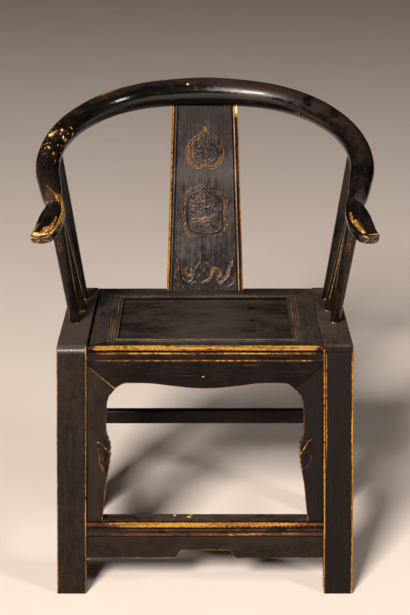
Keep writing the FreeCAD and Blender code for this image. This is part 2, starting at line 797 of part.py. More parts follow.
def splat_band(thick, low, gap):
    """A bowed sheet, seen from the side as two arcs, from low up to the splat's head."""
    inset = (splat_thick - thick) / 2
    front = []
    back = []
    for share in (0.0, 0.5, 1.0):
        bow = splat_bow if share == 0.5 else 0.0
        y = splat_y + splat_lean * share + bow
        z = seat_height + (splat_top - seat_height) * share
        front.append((y + inset - gap, z))
        back.append((y + splat_thick - inset + gap, z))
    steps = [(front[1], front[2]), back[2], (back[1], back[0])]
    if low < seat_height:
        steps += [(back[0][0], low), (front[0][0], low)]
    return along_x(front[0], steps, -reach, reach)


def splat_outline(inset, gap):
    """The tapered face of the splat, seen from the front."""
    foot = splat_foot_width / 2 - inset + gap
    head = splat_head_width / 2 - inset + gap
    steps = [(foot, seat_height), (head, splat_top), (-head, splat_top), (-foot, seat_height), (-foot, 0)]
    return along_y((foot, 0), steps, -reach, reach)


def splat_core(gap):
    """Thinner and narrower sheet that makes the tenons at both ends."""
    sheet = splat_band(splat_thick / 2, seat_height - splat_tenon_depth - gap, gap)
    return sheet.common(splat_outline(tenon_shoulder, gap))


def splat_foot_tenon(gap):
    below = block(-reach, reach, -reach, reach, 0, seat_height + 1)
    return splat_core(gap).common(below)


def splat():
    board = splat_band(splat_thick, seat_height, 0).common(splat_outline(0, 0)).cut(crest_blank(fit))
    board = max(board.Solids, key=lambda solid: solid.Volume)
    return board.fuse(splat_core(0)).removeSplitter()


# ---------------------------------------------------------------- the chair

def side_frame():
    """The right side frame with every mortise and groove."""
    cuts = [rail_tenon(True, fit), rail_tenon(False, fit), footrest_tenon(fit), foot_apron_tenon(fit)]
    cuts += [back_bar_tenon(fit), apron_back_tenon(fit), side_bar_tenon(fit), apron_side_tongue(fit)]
    cuts += [spandrel_tongue(fit)]
    cuts += [post_core(name, fit) for name in post_inset]
    return side_frame_blank().cut(cuts)


def build():
    crest = crest_blank(0)
    arm = arm_blank()
    over_posts = [rail_blank(fit), arm]
    pieces = {}
    pieces["side_frame"] = side_frame()
    pieces["seat_stile"] = seat_stile()
    pieces["seat_batten"] = seat_batten(1)
    pieces["spandrel"] = spandrel()
    pieces["apron"] = apron_side()
    pieces["stretcher"] = stretcher_side()
    pieces["rail_pin"] = pin_block(0).common(rail_blank(0))
    heads = []
    for name in post_inset:
        pieces["post_" + name] = post(name, over_posts)
        heads.append(post_core(name, fit))
    pieces["rail_arm"] = arm.cut(heads + [pin_block(fit)])
    nodes = {}
    for name, shape in pieces.items():
        nodes[name + "_right"] = shape
        nodes[name + "_left"] = mirrored(shape)
    holes = [pin_block(fit), mirrored(pin_block(fit)), splat_core(fit)]
    for head in heads:
        holes += [head, mirrored(head)]
    nodes["splat"] = splat()
    nodes["rail_crest"] = crest.cut(holes)
    nodes["seat_rail_front"] = seat_rail_front()
    nodes["seat_rail_back"] = seat_rail_back()
    nodes["seat_panel"] = seat_panel()
    nodes["apron_front"] = apron_front()
    nodes["apron_back"] = apron_back()
    nodes["footrest"] = footrest()
    nodes["footrest_apron"] = footrest_apron()
    nodes["stretcher_back"] = stretcher_back()
    return nodes


def main():
    os.makedirs("parts", exist_ok=True)
    nodes = build()
    boxes = [shape.BoundBox for shape in nodes.values()]
    front = min(box.YMin for box in boxes)
    back = max(box.YMax for box in boxes)
    for name, shape in nodes.items():
        shape.translate(V(0, -(front + back) / 2, 0))
        shape.exportStep("parts/" + name + ".step")
        print(name, len(shape.Solids), round(shape.Volume), shape.isValid())


main()
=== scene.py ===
# %% [markdown]
# # A horseshoe back armchair in rubbed black lacquer
# The chair is a frame of mortised members under black lacquer. A century of hands and heels has rubbed the
# lacquer through on every edge, down to an ochre ground coat and in places to pale wood. The joinery is
# already modelled as solids, and this lesson gives it its surfaces. It starts by loading the solids, which
# also fix every place and size.

# %% Load the joinery
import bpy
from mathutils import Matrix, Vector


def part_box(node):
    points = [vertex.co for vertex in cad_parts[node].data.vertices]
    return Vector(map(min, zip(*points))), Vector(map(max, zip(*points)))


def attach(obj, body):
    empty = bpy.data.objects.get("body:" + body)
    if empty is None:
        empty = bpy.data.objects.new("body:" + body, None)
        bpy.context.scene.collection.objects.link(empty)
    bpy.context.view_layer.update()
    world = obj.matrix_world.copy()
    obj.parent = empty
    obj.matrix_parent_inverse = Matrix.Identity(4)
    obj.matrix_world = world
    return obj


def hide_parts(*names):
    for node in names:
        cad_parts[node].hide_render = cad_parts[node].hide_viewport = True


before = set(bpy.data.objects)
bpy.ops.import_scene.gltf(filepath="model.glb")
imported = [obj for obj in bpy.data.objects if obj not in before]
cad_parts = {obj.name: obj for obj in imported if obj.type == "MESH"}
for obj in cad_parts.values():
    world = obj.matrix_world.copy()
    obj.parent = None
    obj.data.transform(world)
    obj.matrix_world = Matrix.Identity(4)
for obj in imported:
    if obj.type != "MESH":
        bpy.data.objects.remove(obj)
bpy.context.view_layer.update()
print("solids:", len(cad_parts))

# %% [markdown]
# The solids are measured in millimetres from the front of the seat, so the new pieces are too. One function
# turns such a place into Blender's metres. Blender's own front of the seat is read off the front rail, so
# nothing is fitted by eye.

# %% Places in millimetres
import math

import bmesh
import bpy
from mathutils import Vector, noise

MM = 0.001
SIDES = ((-1, "left"), (1, "right"))
seat_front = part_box("seat_rail_front")[0].y


def at(x, y, z):
    """A place in millimetres, as Blender's metres."""
    return Vector((x * MM, y * MM + seat_front, z * MM))


def ease(value, low, high):
    """0 below low and 1 above high, with a soft start and end."""
    share = min(1.0, max(0.0, (value - low) / (high - low)))
    return share * share * (3.0 - 2.0 * share)


def bell(distance, width):
    """1 at no distance, falling softly to nothing at about twice the width."""
    return math.exp(-(distance / width) ** 2)


def blend_to(start, end, share):
    """The value that share of the way from start to end."""
    return start + (end - start) * share


def height_on(points, x):
    """Height of a line of points over x."""
    for (x0, z0), (x1, z1) in zip(points, points[1:]):
        if x <= x1:
            return blend_to(z0, z1, (x - x0) / (x1 - x0))
    return points[-1][1]


print("front of the seat at y =", round(seat_front, 4))

# %% [markdown]
# Every member is a long piece of wood with a section. It could be a cube with bevels, but then the wear
# would have nothing to follow. Here a flat grid is wrapped round the member like a sheet of veneer: one
# direction of the grid runs along the member and the other runs round it. Each point also gets three notes
# for the lacquer: grain, its place in the straight board before bending; rub, how exposed it is; and tone,
# how dark or brown the lacquer is there. In some places rub and tone also carry painted highlights, sheen
# and shade.

# %% Wrap a grid round a member
def wrap(rows, columns, place, closed=True):
    """place(row, column) gives a point's place, grain, rub and tone. A closed grid meets itself and is
    capped."""
    bm = bmesh.new()
    rub = bm.verts.layers.float.new("rub")
    tone = bm.verts.layers.float.new("tone")
    grain = bm.verts.layers.float_vector.new("grain")
    bmesh.ops.create_grid(bm, x_segments=rows, y_segments=columns, size=0.5)
    for vert in bm.verts:
        row = round((vert.co.x + 0.5) * rows)
        column = round((vert.co.y + 0.5) * columns)
        point, wood, rubbed, toned = place(row, column % columns if closed else column)
        vert.co = point
        vert[grain] = Vector(wood) * MM
        vert[rub] = rubbed
        vert[tone] = toned
    if closed:
        bmesh.ops.remove_doubles(bm, verts=bm.verts, dist=0.00001)
        open_edges = [edge for edge in bm.edges if edge.is_boundary]
        caps = bmesh.ops.holes_fill(bm, edges=open_edges, sides=0)["faces"]
        bmesh.ops.triangulate(bm, faces=caps)
    bmesh.ops.recalc_face_normals(bm, faces=bm.faces)
    return bm


# %% [markdown]
# Old hand-planed wood is never dead flat. The faces sink and rise by a few tenths of a millimetre over some
# centimetres, which bends every reflection a little. The points move only inward, so the piece keeps its
# real size.

# %% Hand-planed surface
def plane_by_hand(bm, depth=0.35, width=38.0, turn=0.0):
    """Sink the surface by up to depth, in hollows that are about as wide as width, both in millimetres."""
    bm.normal_update()
    for vert in bm.verts:
        hollow = noise.noise(vert.co / (width * MM) + Vector((turn, 0, 0)))
        vert.co -= vert.normal * depth * MM * (0.5 + 0.5 * hollow)


# %% [markdown]
# A finished member becomes an object at the origin. It rides on the chair's one body, stands for its solid,
# and takes the finish of its material slot. Edges sharper than 38 degrees stay crisp and the rest are
# shaded smooth.

# %% Hand over a finished piece
made_pieces = []


def hand_over(name, bm, finish, nodes, second=None):
    """second is the finish of the faces whose material index is 1."""
    mesh = bpy.data.meshes.new(name)
    bm.to_mesh(mesh)
    bm.free()
    mesh.polygons.foreach_set("use_smooth", [True] * len(mesh.polygons))
    mesh.set_sharp_from_angle(angle=math.radians(38))
    mesh.materials.append(finish)
    if second:
        mesh.materials.append(second)
    piece = bpy.data.objects.new(name, mesh)
    bpy.context.scene.collection.objects.link(piece)
    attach(piece, "root")
    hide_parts(*nodes)
    made_pieces.append(piece)
    print(name, len(mesh.polygons), "faces")


# %% [markdown]
# ## The lacquer
# The finish is natural lacquer: thin coats, rubbed between coats, over an ochre ground of clay and lacquer
# on wood. It is black-brown, with a soft gloss, and it never covers evenly. Where it is rubbed the eye sees
# a red-brown rim first, then the ochre ground, then pale wood. One function builds the node tree, because
# all parts share these layers.

# %% Colours and nodes
def colour(code):
    """An sRGB hex colour as Blender's linear one."""
    parts = [int(code[k:k + 2], 16) / 255 for k in (1, 3, 5)]
    return [part / 12.92 if part <= 0.04045 else ((part + 0.055) / 1.055) ** 2.4 for part in parts] + [1.0]


def node(tree, kind, inputs=None, **settings):
    """Add a node. An input is given a value, or another node's output to link to."""
    made = tree.nodes.new("ShaderNode" + kind)
    for key, value in settings.items():
        setattr(made, key, value)
    for key, value in (inputs or {}).items():
        if isinstance(value, bpy.types.NodeSocket):
            tree.links.new(value, made.inputs[key])
        else:
            made.inputs[key].default_value = value
    return made


# %% [markdown]
# The patterns are set in millimetres. A streak is a rubbed line of the brush or the grain: long, and about
# 3 mm wide. A hair is a finer scratch, drawn 2 mm wide so that it shows at a normal distance. A speck is a
# chip of a few millimetres, a blotch and a cloud are where a coat is thinner, and a nick is a short dark
# dent in a worn edge. The wear is the sum of rub and these patterns, and three levels of it give the rim,
# the ground and the pale wood. As tone grows, the coats turn from black to brown and then to a greyish
# film_and_sheen colour, and brown is rougher than black. That grey is worn old lacquer in some places and
# a painted sheen or highlight in others, and a low tone is painted shade in some places. The pale wood also
# stands for a painted highlight in two small places. In each pair of levels the change starts at the first
# and is complete at the second.

# %% The lacquer's layers
RIM_WEAR, GROUND_WEAR, PALE_WEAR = (0.36, 0.50), (0.52, 0.64), (1.05, 1.4)
BROWN_TONE, FILM_AND_SHEEN_TONE = (-0.6, 0.7), (0.9, 2.2)
SCRATCH, DARK_GROUND, PALE_WOOD_AND_HIGHLIGHT = "#5c5148", "#6e451a", "#dcc690"
WORN_ROUGHNESS = 0.6
LEAST_RUB = 0.1


def lacquer(name, black, brown, gloss, shine, scuff=1.0, broken=1.0, rim="#4a2710", ochre="#9c7128",
            film_and_sheen="#5a4f46", coat=0.0, carried=False):
    """gloss is the roughness where the lacquer is whole, and shine how much a look straight on reflects.
    scuff and broken are how uneven the coats and the wear are. carried is for a solid, which has no notes."""
    finish = bpy.data.materials.new(name)
    finish.use_nodes = True
    tree = finish.node_tree
    shader = tree.nodes["Principled BSDF"]
    if carried:
        grain = node(tree, "TexCoord").outputs["Object"]
        rub = node(tree, "Value").outputs[0]
        rub.default_value = LEAST_RUB
        tone = rub
    else:
        grain = node(tree, "Attribute", attribute_name="grain").outputs["Vector"]
        rub = node(tree, "Attribute", attribute_name="rub").outputs["Fac"]
        tone = node(tree, "Attribute", attribute_name="tone").outputs["Fac"]

    def pattern(along, across, detail=3.0):
        """Noise whose marks are so many millimetres long and wide."""
        scale = (1000 / along, 1000 / across, 1000 / across)
        spaced = node(tree, "Mapping", {"Vector": grain, "Scale": scale}).outputs[0]
        return node(tree, "TexNoise", {"Vector": spaced, "Scale": 1.0, "Detail": detail}).outputs["Fac"]

    def add(first, second, factor, middle=0.5):
        """first + (second - middle) * factor"""
        change = node(tree, "Math", {0: second, 1: middle}, operation="SUBTRACT").outputs[0]
        return node(tree, "Math", {0: change, 1: factor, 2: first}, operation="MULTIPLY_ADD").outputs[0]

    def step(value, low, high, top=1.0):
        reach = {"Value": value, "From Min": low, "From Max": high, "To Max": top}
        return node(tree, "MapRange", reach, interpolation_type="SMOOTHSTEP").outputs[0]

    def over(share, lower, upper):
        mix = node(tree, "Mix", {0: share, 6: lower, 7: upper}, data_type="RGBA")
        return mix.outputs[2]

    streak = pattern(110, 3.4)
    hair = pattern(70, 2.0, 2.0)
    speck = pattern(6.5, 4.0, 4.0)
    blotch = pattern(16, 10, 3.0)
    cloud = pattern(80, 45, 3.0)
    nick = pattern(13, 3.0, 2.0)
    worn = add(add(add(rub, streak, 0.5 * broken), speck, 0.45 * broken), cloud, 0.6 * broken)
    worn = add(worn, step(nick, 0.62, 0.68), -0.45 * broken, 0.0)
    rim_share = step(worn, *RIM_WEAR)
    ground_share = step(worn, *GROUND_WEAR)
    pale_share = step(worn, *PALE_WEAR)
    thin = add(add(add(add(tone, cloud, 2.0), blotch, 1.4), streak, scuff), speck, 0.5)
    brown_share = step(thin, *BROWN_TONE)
    coats = over(brown_share, colour(black), colour(brown))
    coats = over(step(thin, *FILM_AND_SHEEN_TONE), coats, colour(film_and_sheen))
    coats = over(step(hair, 0.62, 0.74, 0.22 * scuff), coats, colour(SCRATCH))
    coats = over(rim_share, coats, colour(rim))
    mottled = over(step(add(speck, streak, 1.0), 0.36, 0.64), colour(DARK_GROUND), colour(ochre))
    coats = over(ground_share, coats, mottled)
    coats = over(pale_share, coats, colour(PALE_WOOD_AND_HIGHLIGHT))
    tree.links.new(coats, shader.inputs["Base Color"])
    rough = add(add(ground_share, streak, 0.4), blotch, 0.5)
    rough = add(rough, brown_share, 0.5, 0.0)
    rough = node(tree, "MapRange", {"Value": rough, "To Min": gloss, "To Max": WORN_ROUGHNESS}).outputs[0]
    tree.links.new(rough, shader.inputs["Roughness"])
    height = add(add(speck, streak, 1.0), ground_share, -0.8)
    bump = node(tree, "Bump", {"Height": height, "Strength": 0.3, "Distance": 0.0006})
    tree.links.new(bump.outputs[0], shader.inputs["Normal"])
    shader.inputs["Specular IOR Level"].default_value = shine
    shader.inputs["Coat Weight"].default_value = coat
    shader.inputs["Coat Roughness"].default_value = 0.08
    return finish


# %% [markdown]
# Each kind of part has its own mix. The legs and brackets are satin and even. The rail is the smoothest,
# and its wear is the most broken. The posts are slick and black, and the boards are the darkest and reflect
# least. The seat is worn to a grey brown. The splat is streaky, and its carving is rubbed to a copper tan.
# The hidden members are the roughest. The fold of the left front corner is polished, so it mirrors the
# lamp.

# %% The finishes
frame_lacquer = lacquer("natural_lacquer_on_frame", "#0e0907", "#20170f", gloss=0.26, shine=0.14, scuff=0.5,
                        film_and_sheen="#473d36")
rail_lacquer = lacquer("natural_lacquer_on_rail", "#090706", "#241a15", gloss=0.14, shine=0.34, scuff=0.8,
                       film_and_sheen="#3c3029", coat=0.12, broken=1.3)
post_lacquer = lacquer("natural_lacquer_on_posts", "#080606", "#21170f", gloss=0.16, shine=0.16, coat=0.08)
board_lacquer = lacquer("natural_lacquer_on_boards", "#080504", "#1b120d", gloss=0.3, shine=0.08, scuff=0.8,
                        broken=0.7, film_and_sheen="#4a4038")
seat_lacquer = lacquer("rubbed_lacquer_on_seat", "#12100e", "#3a322b", gloss=0.36, shine=0.3, broken=0.6,
                       rim="#5e4d38", ochre="#8f7a55")
splat_lacquer = lacquer("carved_lacquer_on_splat", "#14100f", "#2e2623", gloss=0.26, shine=0.3, scuff=1.3,
                        broken=0.8, rim="#6a4a32", ochre="#94704c", film_and_sheen="#665e5a")
hidden_lacquer = lacquer("thin_lacquer_underneath", "#0b0807", "#1d1510", gloss=0.4, shine=0.12, carried=True)
corner_lacquer = lacquer("polished_lacquer_on_corner", "#0e0907", "#20170f", gloss=0.2, shine=0.5, scuff=0.5,
                         film_and_sheen="#443a32", coat=0.5)
print("finishes:", [finish.name for finish in bpy.data.materials if "lacquer" in finish.name])

# %% [markdown]
# ## The side frames
# Each side of the chair is one bent member: front leg, side of the seat and rear leg. The corners were
# weakened with saw cuts, steamed and folded tight. The section is a rectangle with softly rounded edges, so
# the wrap follows two lines, the outer and the inner side of the arch, and fills the section between them.

# %% Sizes of the side frames
SEAT_HEIGHT, SEAT_DEPTH, HALF_WIDTH = 512.0, 428.0, 285.0
FRAME_WIDTH, FRAME_DEPTH, FRAME_BACK = 58.0, 42.0, 440.0
FRONT_BEND, BACK_BEND, INNER_BEND = 14.0, 8.0, 14.0
SIDEWAYS_LEAN, LEG_RAKE = math.radians(1.0), math.radians(0.6)
LEG_ROWS, FOLD_ROWS, TOP_ROWS = 120, 14, 150
FOLD_RUN = 508.0


def lean(z):
    """How far a side frame has leaned out at this height."""
    return (SEAT_HEIGHT - z) * math.tan(SIDEWAYS_LEAN)


def rake(z):
    """How far a leg has leaned forward or back at this height."""
    return (SEAT_HEIGHT - z) * math.tan(LEG_RAKE)


def inner_x(z):
    return HALF_WIDTH - FRAME_WIDTH + lean(z)


def leg_line(bend):
    """Outer and inner (y, z) up a leg and round its bend, for a leg whose face is at y = 0."""
    line = []
    outer_leg = SEAT_HEIGHT - bend
    inner_leg = SEAT_HEIGHT - FRAME_DEPTH - INNER_BEND
    for k in range(LEG_ROWS + 1):
        outer_z = outer_leg * k / LEG_ROWS
        inner_z = inner_leg * k / LEG_ROWS
        line.append(((-rake(outer_z), outer_z), (FRAME_DEPTH - rake(inner_z), inner_z)))
    for k in range(1, FOLD_ROWS + 1):
        turn = math.radians(180 - 90 * k / FOLD_ROWS)
        outer = (bend + bend * math.cos(turn), outer_leg + bend * math.sin(turn))
        inner_y = FRAME_DEPTH + INNER_BEND + INNER_BEND * math.cos(turn)
        line.append((outer, (inner_y, inner_leg + INNER_BEND * math.sin(turn))))
    return line


def arch_stations():
    """Outer (y, z), inner (y, z) and distance along the arch, from the front foot to the rear foot."""
    inner_end = FRAME_DEPTH + INNER_BEND
    flat = []
    for k in range(1, TOP_ROWS):
        outer_y = blend_to(FRONT_BEND, FRAME_BACK - BACK_BEND, k / TOP_ROWS)
        inner_y = blend_to(inner_end, FRAME_BACK - inner_end, k / TOP_ROWS)
        flat.append(((outer_y, SEAT_HEIGHT), (inner_y, SEAT_HEIGHT - FRAME_DEPTH)))
    rear = []
    for outer, inner in reversed(leg_line(BACK_BEND)):
        rear.append(((FRAME_BACK - outer[0], outer[1]), (FRAME_BACK - inner[0], inner[1])))
    stations = []
    run = 0.0
    before = None
    for outer, inner in leg_line(FRONT_BEND) + flat + rear:
        if before:
            run += math.dist(before, outer)
        before = outer
        stations.append((outer, inner, run))
    return stations


# %% [markdown]
# A section is a closed outline with rounded corners. Its points sit close together near the corners, where
# the wear changes fast, and far apart in the middle of a face. Each point knows its corner and how far away
# that corner is.

# %% Rounded section
def spread(length, gap):
    """Places along a straight side, close together at both ends."""
    near = [0.0, 0.7, 1.6, 3.0, 5.5] if length > 16 else [0.0, length * 0.15]
    count = max(1, round((length - 2 * near[-1]) / gap))
    middle = [blend_to(near[-1], length - near[-1], k / count) for k in range(1, count)]
    return near + middle + [length - value for value in reversed(near)]


def rounded_section(width, depth, radius, gap):
    """(a, b, corner, distance from the corner) round a rectangle; corners go -- +- ++ -+."""
    half = (width / 2 - radius, depth / 2 - radius)
    centres = [(-half[0], -half[1]), (half[0], -half[1]), (half[0], half[1]), (-half[0], half[1])]
    outline = []
    for corner, (a, b) in enumerate(centres):
        for k in range(5):
            turn = math.radians(180 + 90 * corner + 90 * k / 4)
            away = radius * math.radians(abs(k - 2) * 22.5)
            outline.append((a + radius * math.cos(turn), b + radius * math.sin(turn), corner, away))
        following = centres[(corner + 1) % 4]
        side = math.dist((a, b), following)
        turn = math.radians(270 + 90 * corner)
        bulge = (radius * math.cos(turn), radius * math.sin(turn))
        for run in spread(side, gap)[1:-1]:
            near, far = run, side - run
            nearest = corner if near < far else (corner + 1) % 4
            x = blend_to(a, following[0], run / side) + bulge[0]
            y = blend_to(b, following[1], run / side) + bulge[1]
            outline.append((x, y, nearest, min(near, far) + radius * 0.8))
    return outline


# %% [markdown]
# The two edges of the front face are rubbed through along their whole length, and the ones over the seat
# less so. In the section, a is across the chair, away from the sitter, and b is from the inner side of the
# arch to the outer side. The fold of the left front corner still shows the fine ridges of its saw cuts,
# which break up its highlight. The whole right frame is painted darker, as painted shade on the side away
# from the main lamp, and on the upper half of its leg the inner edge is rubbed in two lines. From the front
# fold back, both frames are painted lighter and greyer, as a painted sheen on their tops.

# %% Make the side frames
def frame_rub(corner, away, run, side):
    """The outer corners of the arch are 2 (outside of the chair) and 3 (beside the seat)."""
    on_front_leg = 1.0 - ease(run, 490, 516)
    strength = {0: 0.36, 1: 0.32, 2: 0.38, 3: 0.34}[corner]
    width = 3.0
    if corner == 2:
        strength += on_front_leg * (0.46 if side > 0 else 0.30)
        width = 5.6 if side > 0 else 3.0
    if corner == 3 and side > 0:
        strength = blend_to(0.44, 0.92, on_front_leg)
        width = 3.0 + 1.6 * ease(run, 90, 200) * (1.0 - ease(run, 420, 480))
    if corner == 3 and side < 0:
        strength = blend_to(0.2, 0.74, on_front_leg) + 0.6 * bell(run - FOLD_RUN, 9)
        width = 3.0 + 4.0 * bell(run - FOLD_RUN, 10)
    rub = strength * max(0.0, 1.0 - away / width)
    if corner == 3 and side > 0:
        rub = max(rub, 0.72 * bell(away - 5.0, 1.3) * on_front_leg * ease(run, 200, 330))
    return rub + LEAST_RUB


def side_frame(side, word):
    stations = arch_stations()
    section = rounded_section(FRAME_WIDTH, FRAME_DEPTH, 2.5, 1.5)

    def place(row, column):
        outer, inner, run = stations[row]
        a, b, corner, away = section[column]
        if side < 0 and b > 20:
            ripple = noise.noise(Vector((a / 1.6, run / 4.0, 0)))
            ripple += noise.noise(Vector((0, run / 2.6, a / 9.0)))
            b -= 0.22 * bell(run - FOLD_RUN, 16) * (0.5 + 0.5 * ripple)
        share = b / FRAME_DEPTH + 0.5
        y = blend_to(inner[0], outer[0], share)
        z = blend_to(inner[1], outer[1], share)
        x = HALF_WIDTH - FRAME_WIDTH / 2 + lean(z) + a
        # Painted shade and sheen: the right frame is painted darker, and from the front fold back both frames
        # are painted lighter and greyer as a sheen on their tops.
        toned = 0.0 if side < 0 else -1.2
        toned += (2.3 if side < 0 else 3.0) * ease(run, 502, 514)
        return at(side * x, y, z), (run, a + 200 * side, b), frame_rub(corner, away, run, side), toned

    bm = wrap(len(stations) - 1, len(section), place)
    plane_by_hand(bm, turn=side)
    fold = at(0, 18.0, 496.0)  # the polished fold is in front of this and above it
    for face in bm.faces:
        middle = face.calc_center_median()
        face.material_index = int(side < 0 and middle.y < fold.y and middle.z > fold.z)
    hand_over(word + "_side_frame", bm, frame_lacquer, ["side_frame_" + word], second=corner_lacquer)


for side, word in SIDES:
    side_frame(side, word)

# %% [markdown]
# ## The seat frame
# Four members with mitred corners hold the sunk panel. Round the panel runs a border of three reeds, cut
# with a scratch plane, and their crowns are rubbed. The front member has a moulded face: a half round nose
# that every sitter's legs have worn down to the ochre, then two small beads with a shallow cove between
# them. An outline that is wrapped along a straight line is the natural way to make it, since that is also
# how a moulding plane works.

# %% Outlines of the seat frame
RECESS_HALF, RECESS_FRONT, RECESS_BACK = 170.0, 54.0, 354.0
BORDER = 22.0
RAIL_BOTTOM = 479.0
STILE_EDGE = HALF_WIDTH - FRAME_WIDTH - 0.5
MOULDING = 8.0


def reeds(inner_rub):
    """(distance from the recess, drop below the seat, rub) across the border."""
    outline = [(0.0, 0.8, 0.3), (0.5, 0.15, inner_rub), (1.6, 0.0, inner_rub - 0.05), (2.6, 0.1, 0.1)]
    outline += [(4.6, 0.0, 0.1), (5.3, 1.2, 0.0), (5.9, 1.2, 0.0)]
    for middle, half, rub in ((7.6, 1.3, 0.56), (12.6, 2.7, 0.44), (18.6, 1.5, 0.5)):
        for share in (-1.0, -0.6, 0.0, 0.6, 1.0):
            outline.append((middle + half * share, 0.75 * share ** 2, rub * (1.0 - 0.3 * share ** 2)))
        outline += [(middle + half + 0.3, 1.3, 0.0), (middle + half + 0.8, 1.3, 0.0)]
    return outline + [(BORDER, 0.5, 0.1), (BORDER + 0.6, 0.0, 0.36), (BORDER + 2.0, 0.0, 0.1)]


def arc(middle_y, middle_z, radius, start, end, count, rub):
    """Points of an arc, turned anticlockwise from +y when end is larger than start."""
    turns = [math.radians(blend_to(start, end, k / count)) for k in range(count + 1)]
    return [(middle_y + radius * math.cos(t), middle_z + radius * math.sin(t), rub) for t in turns]


def front_rail_outline():
    outline = [(RECESS_FRONT - d, SEAT_HEIGHT - drop, rub) for d, drop, rub in reeds(0.55)]
    outline += [(y, SEAT_HEIGHT, rub) for y, rub in ((26, 0.06), (16, 0.08), (9.5, 0.1), (7.4, 0.2))]
    outline += [(6.2, 512.0, 0.5)] + arc(5.5, 506.5, 5.5, 110, 212, 8, 0.98) + [(1.6, 502.8, 0.3)]
    outline += [(3.4, 501.3, 0.0), (4.6, 499.0, 0.0)] + arc(3.2, 496.4, 1.6, 105, 255, 4, 0.6)
    outline += [(3.8, 494.0, 0.0), (3.2, 492.0, 0.08), (3.2, 488.4, 0.34), (3.8, 486.4, 0.1)]
    outline += [(5.4, 483.6, 0.0)]
    outline += arc(5.2, 481.0, 1.4, 105, 255, 4, 0.54) + [(6.4, 479.3, 0.0), (6.9, RAIL_BOTTOM, 0.1)]
    outline += [(14.0, RAIL_BOTTOM, 0.0), (RECESS_FRONT, RAIL_BOTTOM, 0.0), (RECESS_FRONT, 495.0, 0.0)]
    return outline + [(RECESS_FRONT, 508.0, 0.1)]


def back_rail_outline():
    outline = [(RECESS_BACK + d, SEAT_HEIGHT - drop, rub) for d, drop, rub in reeds(0.4)]
    outline += [(385, SEAT_HEIGHT, 0.06), (405, SEAT_HEIGHT, 0.06), (424, SEAT_HEIGHT, 0.1)]
    outline += arc(426.2, 510.2, 1.8, 90, 0, 3, 0.4) + [(428, 495, 0.05), (428, RAIL_BOTTOM + 1, 0.3)]
    return outline + [(427, RAIL_BOTTOM, 0.2), (RECESS_BACK, RAIL_BOTTOM, 0.0), (RECESS_BACK, 508.0, 0.1)]


# %% [markdown]
# The mitre starts at 45 degrees from the recess, so that the reeds of two members meet, and then turns to
# the corner. The left member has shrunk away from its side frame, so its outer edge is cut back to an open
# seam that closes near the back, and the seam is painted darker, as painted shade. The moulding runs on
# past the mitres to the side frames, so the side members stop just behind it. It has the darker finish of
# the boards. The wall of the recess behind the panel has that finish too, and is painted near black with
# no rub, as painted shade.

# %% Make the seat frame
def mitre_at(away, corner_run):
    """How far beside the recess the mitre is, where it is so far in front of the recess or behind it."""
    if away <= BORDER:
        return RECESS_HALF + away
    return blend_to(RECESS_HALF + BORDER, STILE_EDGE, (away - BORDER) / (corner_run - BORDER))


def mitre_away(x, corner_run):
    """The other way round: how far in front of the recess or behind it, at this x."""
    if x <= RECESS_HALF + BORDER:
        return x - RECESS_HALF
    share = (x - RECESS_HALF - BORDER) / (STILE_EDGE - RECESS_HALF - BORDER)
    return blend_to(BORDER, corner_run, share)


def cross_rail(name, outline, recess, corner_run, node_name, toned):
    """A member that runs across the chair between its two mitres."""
    rows = 180
    dull_front = RECESS_BACK + 0.4 if recess == RECESS_BACK else MOULDING

    def place(row, column):
        y, z, rub = outline[column]
        moulded = y < MOULDING
        end = STILE_EDGE - 0.2
        if not moulded:
            end = mitre_at(min(corner_run, abs(recess - y)), corner_run)
        x = blend_to(-end, end, row / rows)
        if moulded:
            rub *= 0.45 + 0.55 * ease(end - abs(x), 3, 28)
        if moulded and z > 500:
            rub -= 1.3 * max(0.0, noise.noise(Vector((x / 16.0, z / 1.8, 0))) - 0.1)
        # Painted shade: the wall of the recess behind the panel is painted near black and keeps no rub below
        # its top edge.
        shaded_wall = recess == RECESS_BACK and y < dull_front
        return at(x, y, z), (x, y, z), rub * (z > 511.5) if shaded_wall else rub, toned - 4.0 * shaded_wall

    bm = wrap(rows, len(outline), place)
    plane_by_hand(bm, depth=0.25)
    dull = at(0, dull_front, 511.9)
    for face in bm.faces:
        middle = face.calc_center_median()
        face.material_index = int(middle.y < dull.y and middle.z < dull.z)
    hand_over(name, bm, seat_lacquer, [node_name], second=board_lacquer)


